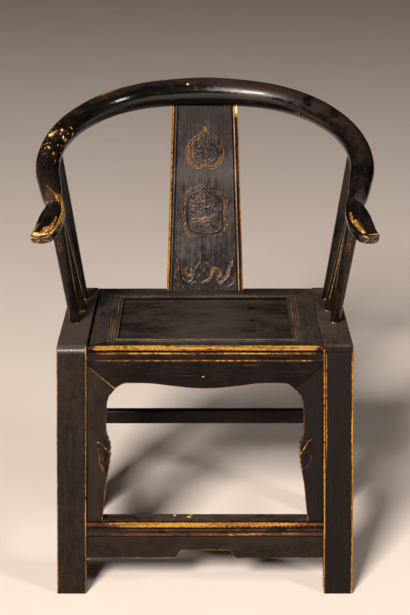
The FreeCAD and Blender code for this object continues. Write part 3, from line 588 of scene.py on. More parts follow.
def stile(side, word):
    """A member beside the recess, from the front mitre to the back one."""
    border = reeds(0.55 if side < 0 else 0.42)
    outline = [(RECESS_HALF + d, SEAT_HEIGHT - drop, rub) for d, drop, rub in border]
    outline += [(203, SEAT_HEIGHT, 0.06), (214, SEAT_HEIGHT, 0.06)]
    if side < 0:
        outline += [(221.0, SEAT_HEIGHT, 0.1), (222.0, 511.4, 0.2), (223.2, 507.0, 0.0), (224.0, 503.0, 0.0)]
        outline += [(STILE_EDGE, 502.6, 0.0), (STILE_EDGE, RAIL_BOTTOM, 0.0)]
    else:
        outline += [(223, SEAT_HEIGHT, 0.15), (STILE_EDGE - 1, 511.7, 0.42), (STILE_EDGE, 510.8, 0.3)]
        outline += [(STILE_EDGE, 495, 0), (STILE_EDGE, RAIL_BOTTOM, 0)]
    outline += [(RECESS_HALF, RAIL_BOTTOM, 0), (RECESS_HALF, 508.0, 0.1)]
    rows = 80

    def place(row, column):
        x, z, rub = outline[column]
        front = max(MOULDING + 0.4, RECESS_FRONT - mitre_away(x, RECESS_FRONT))
        back = RECESS_BACK + mitre_away(x, SEAT_DEPTH - RECESS_BACK)
        y = blend_to(front, back, row / rows)
        # Painted shade: the open seam at the left member's outer edge is painted darker.
        toned = -1.5 if side < 0 and x > 222 else 0.4
        if x > 221:
            x = blend_to(x, STILE_EDGE, ease(y, 395, 410))
        return at(side * x, y, z), (y, x + 300 * side, z), rub, toned

    bm = wrap(rows, len(outline), place)
    plane_by_hand(bm, depth=0.25, turn=side)
    hand_over(word + "_seat_stile", bm, seat_lacquer, ["seat_stile_" + word])


cross_rail("front_seat_rail", front_rail_outline(), RECESS_FRONT, RECESS_FRONT, "seat_rail_front", 0.0)
back_run = SEAT_DEPTH - RECESS_BACK
cross_rail("back_seat_rail", back_rail_outline(), RECESS_BACK, back_run, "seat_rail_back", 0.15)
for side, word in SIDES:
    stile(side, word)

# %% [markdown]
# ## The seat panel
# One thin board lies 6 mm below the frame. It has sunk a little in the middle, and cushions have polished
# its faint grain, which runs from side to side. Only its edges catch the light, so they get a small bevel.
# A strip along the back edge is painted paler, as a painted highlight where that edge catches the light.

# %% Make the seat panel
def seat_panel():
    low, high, top, bottom = RECESS_FRONT + 0.3, RECESS_BACK - 0.3, 506.0, 494.0
    ys = [low + run for run in spread(high - low - 3.0, 4.0)]
    outline = [(low, top - 1.4, 0.2)] + [(y + 1.5, top, 0.1) for y in ys] + [(high, top - 1.4, 0.1)]
    outline += [(high, bottom, 0.0), (low, bottom, 0.0)]
    half = RECESS_HALF - 0.3
    rows = 80

    def place(row, column):
        y, z, rub = outline[column]
        x = blend_to(-half, half, row / rows)
        if z > 500:
            crown = (1 - (x / half) ** 2) * (1 - ((y - 204) / 150) ** 2)
            z -= 0.9 * max(0.0, crown)
            rub = max(rub, 0.3 * (1 - ease(half - abs(x), 0.0, 3.0)))
        # Painted highlight: a paler strip along the back edge.
        toned = 0.3 * bell(x - 10, 70) + 0.1 + 1.1 * bell(y - 350, 4)
        return at(x, y, z), (x, y, z), rub, toned

    bm = wrap(rows, len(outline), place)
    plane_by_hand(bm, depth=0.4, width=30.0)
    hand_over("seat_board", bm, seat_lacquer, ["seat_panel"])


seat_panel()

# %% [markdown]
# ## Boards
# Aprons, brackets, the board under the footrest and the splat are all flat boards whose two long edges are
# curves. Such a board is a stack of stations, each with a point on one edge and a point on the other.
# Across a station the wrap goes over the front face, round one edge, over the back and round the other. A
# relief function can raise the front face, for carving, and says how rubbed it is.

# %% Board between two edges
NEAR_EDGE = [0.0, 0.8, 1.8, 3.2, 5.2]


def board(rows, middle, edges, front, thick, relief, upright, rounding=1.4, bend=None):
    """edges(share) gives two (x, z) points, and middle says how many points lie between the close ones at the
    edges. relief(x, z, away) gives a height, a rub and a tone, where away is the distance to the nearer edge,
    negative on the first one's side. The grain is upright or runs across."""
    outline = [("first", away) for away in NEAR_EDGE]
    outline += [("middle", k / (middle + 1)) for k in range(1, middle + 1)]
    outline += [("second", away) for away in reversed(NEAR_EDGE)]
    turns = [math.radians(angle) for angle in (30, 60, 90)]
    outline += [("second round", turn) for turn in turns]
    outline += [("back", 1.0), ("back", 0.5), ("back", 0.0)]
    outline += [("first round", turn) for turn in reversed(turns)]

    def place(row, column):
        first, second = edges(row / rows)
        width = math.dist(first, second)
        kind, value = outline[column]
        if kind == "first":
            across = rounding + value
        elif kind == "second":
            across = width - rounding - value
        elif kind == "middle":
            across = blend_to(rounding + NEAR_EDGE[-1], width - rounding - NEAR_EDGE[-1], value)
        elif kind == "second round":
            across = width - rounding * (1.0 - math.sin(value))
        elif kind == "first round":
            across = rounding * (1.0 - math.sin(value))
        else:
            across = width * value
        x = blend_to(first[0], second[0], across / width)
        z = blend_to(first[1], second[1], across / width)
        height, rub, toned = relief(x, z, -across if across < width / 2 else width - across)
        if "round" in kind:
            y = front + rounding * (1.0 - math.cos(value))
        elif kind == "back":
            y, rub = front + thick, 0.1
        else:
            y = front - height
        wood = (z, x, y) if upright else (x, y, z)
        if bend:
            y += bend(z)
        return at(x, y, z), wood, rub, toned

    return wrap(rows, len(outline), place)


def on_first_edge(away, width):
    """1 beside a board's first edge, falling to 0 at this distance from it."""
    return max(0.0, 1.0 - abs(away) / width) if away < 0 else 0.0


# %% [markdown]
# ## Carving
# The ornaments were cut round with a veiner and rounded over, so each line is a low ridge between two
# grooves, and its crown is rubbed to a copper tan. A line is drawn here through a few points, and the
# height of the wood depends only on how far it is from the nearest line. That gives real relief, which the
# light picks out from any side.

# %% Carved lines
def curve(a, b, c, d, t):
    """The value between b and c on a smooth curve through all four."""
    square = (2 * a - 5 * b + 4 * c - d) * t * t
    return 0.5 * (2 * b + (c - a) * t + square + (3 * b - a - 3 * c + d) * t ** 3)


def smooth_line(points, steps=7):
    """A smooth curve through the points."""
    ends = [points[0]] + list(points) + [points[-1]]
    line = []
    for k in range(1, len(ends) - 2):
        p0, p1, p2, p3 = ends[k - 1:k + 3]
        for step in range(steps):
            line.append(tuple(curve(*four, step / steps) for four in zip(p0, p1, p2, p3)))
    return line + [points[-1]]


def line_pieces(strokes):
    """Each stroke is (half width, rub, points). Returns its short straight pieces. A stroke that is wider
    than 4 mm is cut as three fine ridges, and the outer two are rubbed more than a middle or single one."""
    pieces = []
    for half, rub, points in strokes:
        line = smooth_line(points)
        lanes = (-1.0, 0.0, 1.0) if half > 2.0 else (0.0,)
        fine = 0.42 * half if half > 2.0 else half
        for k in range(len(line) - 1):
            (x0, z0), (x1, z1) = line[k:k + 2]
            taper = 0.55 + 0.45 * math.sin(math.pi * (k + 0.5) / (len(line) - 1))
            long = math.dist(line[k], line[k + 1]) + 1e-6
            strength = rub * (0.75 + 0.25 * taper)
            for lane in lanes:
                dx = (z0 - z1) / long * lane * half * taper
                dz = (x1 - x0) / long * lane * half * taper
                ends = (x0 + dx, z0 + dz), (x1 + dx, z1 + dz)
                pieces.append((*ends, fine * taper, strength * (0.8 if lane == 0.0 else 1.0)))
    return pieces


def from_line(piece, x, z):
    """Distance from a straight piece, in its own half widths. None where it is far away."""
    (x0, z0), (x1, z1), half, strength = piece
    reach = 3 * half
    beside = x < min(x0, x1) - reach or x > max(x0, x1) + reach
    if beside or z < min(z0, z1) - reach or z > max(z0, z1) + reach:
        return None
    dx, dz = x1 - x0, z1 - z0
    share = min(1.0, max(0.0, ((x - x0) * dx + (z - z0) * dz) / (dx * dx + dz * dz + 1e-9)))
    return math.hypot(x - x0 - dx * share, z - z0 - dz * share) / half


def carved(pieces, x, z):
    """Height and rub at a place on the carved face: ridges, with a groove on both sides."""
    ridge, groove, rub = 0.0, 0.0, 0.0
    for piece in pieces:
        away = from_line(piece, x, z)
        if away is None:
            continue
        ridge = max(ridge, 1.0 - ease(away, 0.3, 1.15))
        groove = max(groove, bell(away - 1.55, 0.4))
        rub = max(rub, piece[3] * (1.0 - ease(away, 0.55, 1.35)))
    return max(ridge, -0.6 * groove * (ridge < 0.02)), rub


# %% [markdown]
# ## The apron
# Under the front rail is a thin board. Its lower edge is a cupid's bow: two flat arches with a dip between
# them. At each end it is mitred to the tall bracket that runs down the leg.

# %% Make the apron
APRON_LOW, APRON_FRONT, APRON_THICK = 424.0, 6.0, 14.0
MITRE_X = 172.5
MITRE_TOP = (inner_x(471.6), 471.6)
BOW = [(0, 424.0), (26, 425.4), (53, 428.0), (80, 431.3), (107, 434.6), (129, 435.2), (151, 434.8)]
BOW += [(162, 432.0), (MITRE_X, APRON_LOW)]
APRON_SCUFFS = [(-128, 468, 22, 1.5, 0.36), (-105, 461, 14, 1.2, 0.3), (84, 473, 34, 1.6, 0.4)]
APRON_SCUFFS += [(-20, 462, 40, 1.5, 0.22), (-3.5, 449, 1.3, 1.3, 2.2), (-150, 473, 18, 1.4, 0.34)]


def apron():
    half = inner_x(475) - 0.3
    bow = smooth_line(BOW) + [MITRE_TOP]

    def edges(share):
        x = blend_to(-half, half, share)
        return (x, height_on(bow, abs(x))), (x, RAIL_BOTTOM - 0.1)

    def relief(x, z, away):
        line = on_first_edge(away, 3.2) * (0.64 if abs(x) < MITRE_X else 0.25)
        for middle_x, middle_z, long, tall, strength in APRON_SCUFFS:
            line += strength * bell(x - middle_x, long) * bell(z - middle_z, tall)
        return 0.0, 0.12 + line, -0.3

    bm = board(220, 20, edges, APRON_FRONT, APRON_THICK, relief, upright=False)
    plane_by_hand(bm, depth=0.3)
    hand_over("front_apron", bm, board_lacquer, ["apron_front"])


apron()

# %% [markdown]
# ## The brackets
# A tall bracket stands in the angle between leg and apron. It is narrow, swells to a curled leaf a hand's
# breadth above the footrest, and is narrow again below. The leaf's rim is cut into small teeth. The left
# mitre has opened to a thin crack, which is palest at its lower end.

# %% Make the brackets
LEAF_TEETH = [(42.4, 254), (44.5, 262), (43.0, 266), (46.5, 273), (44.8, 278), (48.0, 287), (46.2, 292)]
LEAF_TEETH += [(48.0, 301), (46.0, 306), (46.4, 312), (43.0, 316), (43.2, 321), (39.5, 327)]
BRACKET = [(31, 150), (35, 190), (38, 226)] + LEAF_TEETH + [(38, 338), (38, 374), (39.6, 396), (43.5, 409)]
BRACKET += [(inner_x(APRON_LOW) - MITRE_X, APRON_LOW)]
LEAF_LEFT = [
    (1.4, 0.64, [(17.0, 309.6), (23.5, 314.8), (34.1, 305.4), (46.2, 293.8)]),
    (1.3, 0.6, [(17.0, 309.6), (23.1, 299.1), (25.5, 284.4), (26.1, 271.9), (32.1, 255.1), (37.0, 251.9)]),
    (1.2, 0.56, [(24.1, 312.8), (29.1, 297.9), (31.5, 286.0), (33.0, 276.0)]),
    (1.2, 0.55, [(27.1, 270.8), (32.0, 263.0), (38.1, 255.1)]),
    (1.2, 0.3, [(36.0, 297.0), (38.0, 288.0), (44.0, 282.0)]),
    (1.2, 0.3, [(35.0, 284.0), (37.0, 276.0), (43.0, 270.0)]),
    (1.2, 0.3, [(34.0, 272.0), (36.5, 265.0), (41.0, 260.0)]),
]
LEAF_RIGHT = [
    (1.8, 0.68, [(20.9, 323.2), (29.2, 316.4), (37.3, 302.8), (47.1, 287.4)]),
    (1.3, 0.48, [(22.7, 321.5), (25.8, 309.6), (25.8, 292.5), (23.5, 279.0), (30.8, 265.2), (44.0, 256.8)]),
    (1.2, 0.3, [(29.0, 309.0), (31.0, 300.0), (34.0, 292.0)]),
    (1.2, 0.25, [(33.0, 292.0), (37.0, 284.0), (43.0, 279.0)]),
    (1.2, 0.25, [(30.0, 281.0), (35.0, 272.0), (41.0, 267.0)]),
]


def bracket(side, word, strokes):
    edge = [(z, width) for width, z in BRACKET]
    pieces = line_pieces(strokes)
    foot_z, corner_z = 150.0, APRON_LOW - 0.4

    def edges(share):
        z = blend_to(foot_z, corner_z, share)
        leg_z = blend_to(foot_z, MITRE_TOP[1] - 0.4, share)
        return (inner_x(z) - height_on(edge, z), z), (inner_x(leg_z) - 0.3, leg_z)

    def relief(x, z, away):
        height, rub = carved(pieces, inner_x(z) - x, z)
        inside = ease(z, 246, 258) * (1.0 - ease(z, 318, 334)) * ease(inner_x(z) - x, 22, 34)
        line = 0.66 * on_first_edge(away, 3.0)
        if side < 0 and z > corner_z - 1:
            share = (x - MITRE_X) / (MITRE_TOP[0] - MITRE_X)
            below_mitre = blend_to(corner_z, MITRE_TOP[1], share) - z
            line += blend_to(2.4, 0.5, (z - corner_z) / 48) * max(0.0, 1.0 - abs(below_mitre) / 0.7)
        # Painted shade: the right bracket is painted darker than the left, and the grooves beside the carved
        # lines darker still. The middle of the leaf is darker too.
        toned = (0.2 if side < 0 else -0.7) - 0.8 * inside - 1.6 * max(0.0, -height)
        return height * 1.5 + inside * 0.6, max(1.12 * rub, 0.1 + line), toned

    bm = board(220, 34, edges, APRON_FRONT, APRON_THICK, relief, upright=True)
    if side < 0:
        bmesh.ops.scale(bm, vec=(-1, 1, 1), verts=bm.verts)
        bmesh.ops.recalc_face_normals(bm, faces=bm.faces)
    plane_by_hand(bm, depth=0.25, turn=side)
    hand_over(word + "_bracket", bm, frame_lacquer, ["spandrel_" + word])


bracket(-1, "left", LEAF_LEFT)
bracket(1, "right", LEAF_RIGHT)

# %% [markdown]
# ## The footrest
# The front stretcher doubles as a foot bar. Shoes have worn its upper band to the ochre in the middle, and
# left a row of dark marks along its right half. The two beads under it are rubbed as well, and three small
# chips on its top are pale. Its flat top is painted lighter and greyer, as a painted sheen. Below it is a
# board with a shallow notch.

# %% Make the footrest and its board
FOOTREST_LOW = 116.0
CHIPS = [(-60, 37, 3.4, 2.3), (-32, 30, 4.0, 2.5), (-27, 41, 2.4, 2.3)]


def footrest():
    outline = [(y, 150, 0.1) for y in (44, 41, 38, 35, 32, 29, 26, 20, 13, 7)]
    outline += [(3.6, 149.9, 0.3), (1.6, 149.6, 0.5), (0.6, 149.0, 0.8), (0.1, 147.6, 0.98)]
    outline += [(0.0, 145.5, 1.0), (0.0, 143.2, 0.94), (0.1, 141, 0.84), (0.5, 139.2, 0.66)]
    outline += [(1.4, 138.3, 0.4), (3.0, 137.8, 0.0), (3.2, 136.2, 0.0)]
    outline += arc(2.9, 132.6, 2.4, 110, 250, 6, 0.46) + [(4.0, 129.4, 0.0), (4.0, 127.6, 0.0)]
    outline += arc(3.9, 122.9, 3.3, 110, 250, 7, 0.5)
    outline += [(4.9, 118.8, 0.05), (6.0, 116, 0.15), (14, 116, 0), (44, 116, 0.1), (44, 133, 0.05)]
    rows = 230

    def place(row, column):
        y, z, rub = outline[column]
        end = inner_x(z) - 0.2
        x = blend_to(-end, end, row / rows)
        fade = ease(end - abs(x), 10, 120)
        if z > 137:
            dent = 0.5 + 0.5 * math.sin(x / 1.45 + math.sin(x / 23) * 3)
            rub *= blend_to(0.52, 1.0, fade) * (1.0 - 0.4 * (z < 143.5) * ease(x, -60, 60) * dent)
        else:
            rub *= blend_to(0.8, 1.0, fade)
        for chip_x, chip_y, size, strength in CHIPS:
            if z > 149.9 and y > 8:
                rub += strength * bell(math.hypot(x - chip_x, y - chip_y), size)
        # Painted sheen: the flat top is painted lighter and greyer.
        return at(x, y, z), (x, y, z), rub, 1.6 if z > 149.9 else 0.0

    bm = wrap(rows, len(outline), place)
    plane_by_hand(bm, depth=0.3, width=26.0)
    hand_over("foot_bar", bm, board_lacquer, ["footrest"])


def footrest_board():
    low, notch = 71.0, 88.0
    profile = [(0, notch), (46, notch), (51, notch - 2.5), (57, low + 2.5), (62, low), (300, low)]

    def edges(share):
        x = blend_to(-1, 1, share) * (inner_x(100) - 0.3)
        return (x, height_on(profile, abs(x))), (x, FOOTREST_LOW - 0.1)

    def relief(x, z, away):
        return 0.0, 0.14 + 0.72 * on_first_edge(away, 3.2), 0.2

    bm = board(240, 16, edges, APRON_FRONT, 12.0, relief, upright=False)
    plane_by_hand(bm, depth=0.3)
    hand_over("foot_board", bm, frame_lacquer, ["footrest_apron"])


footrest()
footrest_board()

# %% [markdown]
# ## The horseshoe rail
# The rail is three lengths of bent wood, lapped and pinned behind the shoulders. On each side its middle
# line is three arcs and a straight, in one plane that falls toward the front, and its thickness shrinks
# from the crest to the hands. A curve object with a bevel would be quicker, but the wrap keeps the place
# along the rail for the grain and the wear.

# %% The rail's middle line
CREST = Vector((0, 470.0, 928.0))
FALL = math.radians(23.6)
DOWN_RAIL = Vector((0, -math.cos(FALL), -math.sin(FALL)))
OFF_RAIL = Vector((0, -math.sin(FALL), math.cos(FALL)))
STRAIGHT = 96.0
ARCS = [(510.0, 12.0), (260.0, 88.0), (0.0, STRAIGHT), (-160.0, 90.0)]
CREST_RUN = 510 * math.radians(12)
SHOULDER_END = CREST_RUN + 260 * math.radians(88)
NECK = SHOULDER_END + STRAIGHT
LAP_START = CREST_RUN + 260 * math.radians(34 - 12)
LAP_END = CREST_RUN + 260 * math.radians(55 - 12)


def along_rail(run):
    """Place and heading (radians) in the rail's plane, at a distance from the middle of the crest."""
    u = v = heading = 0.0
    left = run
    for radius, size in ARCS:
        length = size if radius == 0 else abs(radius) * math.radians(size)
        part = min(left, length)
        if radius == 0:
            u += part * math.cos(heading)
            v += part * math.sin(heading)
        else:
            turned = heading + part / radius
            u += radius * (math.sin(turned) - math.sin(heading))
            v += radius * (math.cos(heading) - math.cos(turned))
            heading = turned
        left -= part
        if left <= 0:
            break
    return u, v, heading


def rail_radius(run):
    if run <= SHOULDER_END:
        return (60 - 12 * math.sin(math.pi / 2 * run / SHOULDER_END)) / 2
    return (48 - 10 * min(1.0, (run - SHOULDER_END) / STRAIGHT)) / 2


def on_rail(run, out, up, side):
    """A point beside the middle line: out of the horseshoe, and up from its plane."""
    u, v, heading = along_rail(run)
    u += out * math.sin(heading)
    v -= out * math.cos(heading)
    point = CREST + DOWN_RAIL * v + OFF_RAIL * up
    return at(side * u, point.y, point.z)


# %% [markdown]
# Wear on the rail is not along an edge but in places: gold flecks behind the left shoulder, a lumpy old
# repair on it, and dark bands where the laps were bound and painted over. Each place is a soft patch on the
# rail, given by the distance along it (negative on the left), the angle round it, its size and its
# strength. Some tone patches are painted light and shade rather than the lacquer's own colour: the inner
# side of the horseshoe just below its middle line is darker all along, as painted shade, a band on the
# upper front of the left crest and the upper outer side of the right grip are a little darker, as painted
# shade, and the top of the crest towards its outer side is lighter, as painted light.

# %% Marks on the rail
RAIL_RUBS = [
    (-250, 95, 120, 40, 0.06), (-190, 72, 90, 18, 0.3), (-300, 50, 60, 18, 0.36), (-390, 72, 9, 13, 2.2),
    (-376, 90, 4, 10, 0.7), (-366, 116, 6, 12, 0.7), (-387, 146, 7, 14, 0.7), (-404, 160, 8, 12, 0.45),
    (-440, 100, 50, 50, 0.1), (-480, 110, 50, 60, 0.06), (-37, 114, 3.0, 7, 1.9), (98, 96, 8, 16, 0.2),
    (180, 190, 170, 14, 0.24), (-200, 188, 150, 12, 0.2), (330, 192, 120, 16, 0.24), (255, 130, 5, 10, 0.1),
    (-545, 15, 60, 40, 0.26), (560, 95, 60, 70, 0.12), (350, 90, 260, 180, -0.14), (-20, 72, 60, 20, 0.12),
]
# Painted light and shade among these tones: the band at angle 190 along the whole rail is painted shade, the
# patches at (-120, 140) and (640, 60) are faint painted shade, and the patch at (0, 70) is painted light.
RAIL_TONES_AND_PAINTED_LIGHT = [
    (229, 100, 9, 26, -1.8), (240, 122, 6, 14, -1.4), (306, 104, 10, 18, -1.7), (296, 86, 9, 18, -1.3),
    (514, 100, 15, 130, -2.2), (-600, 60, 60, 70, 0.5), (-410, 150, 20, 40, -1.6), (-352, 80, 9, 40, -1.8),
    (-425, 60, 12, 30, -1.4), (-470, 120, 60, 80, -0.5), (110, 125, 130, 60, 1.0), (380, 105, 150, 90, 0.5),
    (-230, 88, 110, 30, 0.3), (-300, 60, 60, 50, -0.5), (-230, 140, 130, 40, -1.2), (0, 70, 130, 34, 1.3),
    (0, 190, 700, 56, -1.5), (-120, 140, 160, 18, -0.6), (640, 60, 300, 90, -0.2), (560, 90, 40, 50, 0.4),
    (-520, 20, 60, 40, 0.5),
]
REPAIR = [(-415, 110, 80, 75, 1.0), (-362, 130, 22, 70, 0.9)]


def patches(marks, run, angle, start=0.0):
    total = start
    for mark_run, mark_angle, long, wide, strength in marks:
        across = (angle - mark_angle + 180) % 360 - 180
        near = ((run - mark_run) / long) ** 2 + (across / wide) ** 2
        if near < 4:
            total += strength * math.exp(-near * 1.4)
    return total


# %% [markdown]
# Each lap is halved: the crest keeps the upper half there and the arm the lower half. At a lap's end the
# same station comes twice, once with the whole section and once with the half, and the step between them is
# the shoulder. The old repair is uneven filler, so the surface sinks and rises there by about two
# millimetres.

# %% Make the crest of the rail
ROUND = 84


def round_place(run, angle, side, flat=None):
    """A point on the round rail. flat is 1 for the upper half of a lap and -1 for the lower half."""
    turn = math.radians(angle)
    signed = run * side
    radius = rail_radius(run)
    lumps = patches(REPAIR, signed, angle)
    rub = patches(RAIL_RUBS, signed, angle, 0.12)
    if lumps > 0.02:
        spot = Vector((signed / 9.0, math.cos(turn) * radius / 5.0, math.sin(turn) * radius / 5.0))
        ridge = noise.noise(spot) + 0.4 * noise.noise(spot * 2.1)
        radius -= 2.4 * lumps * (0.5 - ridge)
        rub += lumps * (3.4 * max(0.0, ridge - 0.24) - 0.04)
    out, up = radius * math.cos(turn), radius * math.sin(turn)
    if flat == 1:
        up = max(up, 0.05)
    if flat == -1:
        up = min(up, -0.05)
    tone = patches(RAIL_TONES_AND_PAINTED_LIGHT, signed, angle) + 0.5 * lumps
    if flat is not None and abs(up) < 1.0:
        tone -= 1.0
    return on_rail(run, out, up, side), (signed, out, up), rub, tone


def stations_between(start, end, gap=2.6):
    count = max(2, round((end - start) / gap))
    return [blend_to(start, end, k / count) for k in range(count + 1)]


def crest():
    half = [(run, None) for run in stations_between(0, LAP_START)]
    half += [(run, 1) for run in stations_between(LAP_START, LAP_END)]
    stations = [(-run, flat) for run, flat in reversed(half[1:])] + half

    def place(row, column):
        run, flat = stations[row]
        return round_place(abs(run), 360.0 * column / ROUND, -1 if run < 0 else 1, flat)

    bm = wrap(len(stations) - 1, ROUND, place)
    plane_by_hand(bm, depth=0.7, width=45.0)
    hand_over("crest_rail", bm, rail_lacquer, ["rail_crest"])


crest()

# %% [markdown]
# ## The arms and their grips
# Past the shoulder the arm runs straight, narrows at a neck, and turns outward into a grip with a flat top,
# a rounded underside and a blunt end. The upper outer side of the neck is scooped out: the scoop starts as
# a thin flat, gets deeper, and ends in a step where the grip rises. Its upper border is a sharp crease. The
# section changes from a circle to a loaf, a rounded rectangle with a tight top and a soft bottom.

# %% Shape of the grip
GRIP = 112.0
SCOOP = 42.0
OUTER = [(-46, 21.0), (-28, 19.0), (-10, 14.4), (1, 10.6), (2, 11.0), (5, 15.4), (10, 18.6), (24, 23.6)]
OUTER += [(48, 26.8), (72, 25.6), (95, 20.6), (104, 18.8), (109, 17.8), (GRIP, 15.0)]
INNER = [(-46, 20.3), (-20, 19.4), (0, 19.0), (40, 20.6), (80, 20.4), (104, 18.6), (109, 17.4), (GRIP, 14.5)]
TOP = [(-46, 20.6), (-16, 18.6), (1, 16.0), (6, 12.8), (14, 11.2), (GRIP - 8, 10.8), (GRIP, 9.0)]
UNDER = [(-46, 20.6), (0, 18.6), (30, 15.6), (80, 14.6), (104, 14.0), (GRIP, 11.0)]
LOAF = [(-46, 2.0), (-8, 2.1), (1, 2.3), (4, 4.5), (14, 6.0), (GRIP, 6.5)]


def loaf(past, angle):
    """(out, up) of the plain section so far past the neck."""
    turn = math.radians(angle)
    c, s = math.cos(turn), math.sin(turn)
    wide = height_on(OUTER, past) if c > 0 else height_on(INNER, past)
    tall = height_on(TOP, past) if s > 0 else height_on(UNDER, past)
    square = height_on(LOAF, past)
    power = 2.0 / (square if s > 0 else 2.0 + 0.12 * square)
    return math.copysign(abs(c) ** power, c) * wide, math.copysign(abs(s) ** power, s) * tall


def crease_at(past):
    """Angle of the crease over the scoop. 90 where there is none."""
    if past < -SCOOP or past > 1.0:
        return 90.0
    return blend_to(66.0, 118.0, (past + SCOOP) / (SCOOP + 1.0))


def grip_place(past, angle):
    """(out, up, angle, scooped) at a column of the wrap. The column at 90 degrees follows the crease."""
    crease = crease_at(past)
    if -40 < angle <= 90:
        angle = blend_to(-40.0, crease, (angle + 40) / 130)
    elif 90 < angle < 180:
        angle = blend_to(crease, 180.0, (angle - 90) / 90)
    out, up = loaf(past, angle)
    deep = (past + SCOOP) / (SCOOP + 1.0)
    foot = crease - 8.0 - 120.0 * deep
    if crease == 90.0 or not foot < angle < crease:
        return out, up, angle, 0.0
    share = (angle - foot) / (crease - foot)
    low, high = loaf(past, foot), loaf(past, crease)
    hollow = 2.2 * deep * math.sin(math.pi * share)
    out = blend_to(low[0], high[0], share) - hollow * 0.7
    up = blend_to(low[1], high[1], share) - hollow * 0.7
    return out, up, angle, deep


# %% [markdown]
# Hands wear the inner border of the grip first, then the end. The strokes are drawn on the grip's top, in
# millimetres past the neck and out from its middle. The left end is worn down to pitted wood. On the right
# end the pale line along its top edge is partly wear and partly a painted highlight.

# %% Wear on the grips
GRIP_WEAR = {
    -1: line_pieces([
        (4.6, 0.7, [(-34, -9), (-18, -10), (-2, -12), (14, -14)]),
        (2.5, 1.25, [(-16, -14.5), (0, -16), (30, -17.5), (60, -17), (108, -14.5)]),
        (2.4, 0.9, [(40, -5), (58, -6), (76, -5)]), (4.6, 1.05, [(72, -6), (88, -5), (100, -3), (108, 2)]),
        (1.7, 0.8, [(76, 19), (92, 18), (108, 14)]),
        (3.4, 1.3, [(106, -13), (107, 0), (107, 15)]),
    ]),
    1: line_pieces([
        (2.4, 1.15, [(38, -12), (56, -12), (78, -10.5), (104, -9)]),
        (1.9, 1.6, [(96, -9.6), (106, -8.6)]),
        # Partly wear and partly a painted highlight: the pale line along the top edge of the right grip's
        # end.
        (1.4, 1.8, [(108, 0), (109, 8), (108, 16)]),
    ]),
}


def heading_left(run):
    """How far the rail still has to turn back before it points straight to the front."""
    return math.pi / 2 - along_rail(run)[2]


def grip_rub(past, out, up, side):
    if up < 2 or past < -36:
        return 0.0
    best = 0.0
    for piece in GRIP_WEAR[side]:
        away = from_line(piece, past, out)
        if away is not None:
            best = max(best, piece[3] * (1.0 - ease(away, 0.6, 1.2)))
    return best * ease(past, -34, -12)


# %% [markdown]
# The arm starts as the lower half of the lap. At the grip's end the last rings shrink inside the same
# plane, so that the end face has points of its own to carry the pits.

# %% Make the arms
def arm(side, word):
    stations = [(run, -1, 1.0) for run in stations_between(LAP_START, LAP_END)]
    stations += [(run, None, 1.0) for run in stations_between(LAP_END, NECK - 46)]
    stations += [(run, None, 1.0) for run in stations_between(NECK - 44, NECK - 12, 2.5)]
    stations += [(run, None, 1.0) for run in stations_between(NECK - 11, NECK + 18, 1.0)]
    stations += [(run, None, 1.0) for run in stations_between(NECK + 20, NECK + GRIP - 7, 2.6)]
    stations += [(NECK + GRIP - back, None, 1.0) for back in (5.0, 3.2, 1.8, 0.8, 0.0)]
    stations += [(NECK + GRIP, None, shrink) for shrink in (0.88, 0.72, 0.54, 0.34, 0.14)]
    around = 96

    def place(row, column):
        run, flat, shrink = stations[row]
        angle = 360.0 * column / around
        if angle > 180:
            angle -= 360
        past = run - NECK
        if past <= -46:
            return round_place(run, angle, side, flat)
        slant = 8.0 * math.cos(math.radians(angle)) * (1.0 - ease(past, 24, 60)) * ease(past, -46, -30)
        out, up, turned, scooped = grip_place(past - slant, angle)
        rub, tone = round_place(run, turned, side)[2:]
        rub = max(rub, grip_rub(past, out, up, side))
        tone -= 0.3 * ease(past, 6, 16)
        if side < 0 and up > 6 and out > -6:
            rub = max(rub, 0.5 * bell(past - slant - 3.0, 1.3))
        if scooped:
            tone += 0.6
            rub += 0.22 * scooped if side < 0 else 0.06
        if abs(angle - 90) < 3 and crease_at(past - slant) != 90.0:
            rub = max(rub, 1.0 if side < 0 else 0.3)
        pit = 0.0
        if side < 0:
            worn_end = ease(past, 98, 110)
            pits = noise.noise(Vector((past / 5.0, out / 3.0, up / 2.6)))
            rub = max(rub, worn_end * (0.26 + 1.9 * pits))
            pit = 2.4 * worn_end * max(0.0, -pits)
            tone += 1.0 * worn_end
        else:
            tone += 0.5 * (shrink < 1.0)
            rub += 1.4 * (shrink < 1.0) * max(0.0, noise.noise(Vector((out / 2.4, up / 2.0, 0))))
        out, up = out * shrink, up * shrink
        square = math.tan(heading_left(run)) * out * ease(past, 30, 104)
        return on_rail(run - pit + square, out, up, side), (run * side, out, up), rub, tone

    bm = wrap(len(stations) - 1, around, place)
    plane_by_hand(bm, depth=0.45, width=30.0, turn=side)
    hand_over(word + "_arm_rail", bm, rail_lacquer, ["rail_arm_" + word])


for side, word in SIDES:
    arm(side, word)

# %% [markdown]
# ## The posts
# Three leaning posts on each side carry the rail. They are nearly round, thinner at the foot, and slightly
# squared, as a drawknife leaves them, so that two soft arrises catch the light. Their feet are chipped to
# the pale wood. The front posts have two short rubbed lines, such as a lost bracket leaves.

# %% Make the posts
# The foot's distance from the side and from the front, then the head's distance behind the neck and its
# thickness.
POSTS = {
    "front": (25.0, 170.0, 6.0, 29.0),
    "middle": (32.0, 258.5, 82.0, 24.0),
    "rear": (31.0, 347.0, 212.0, 23.0),
}


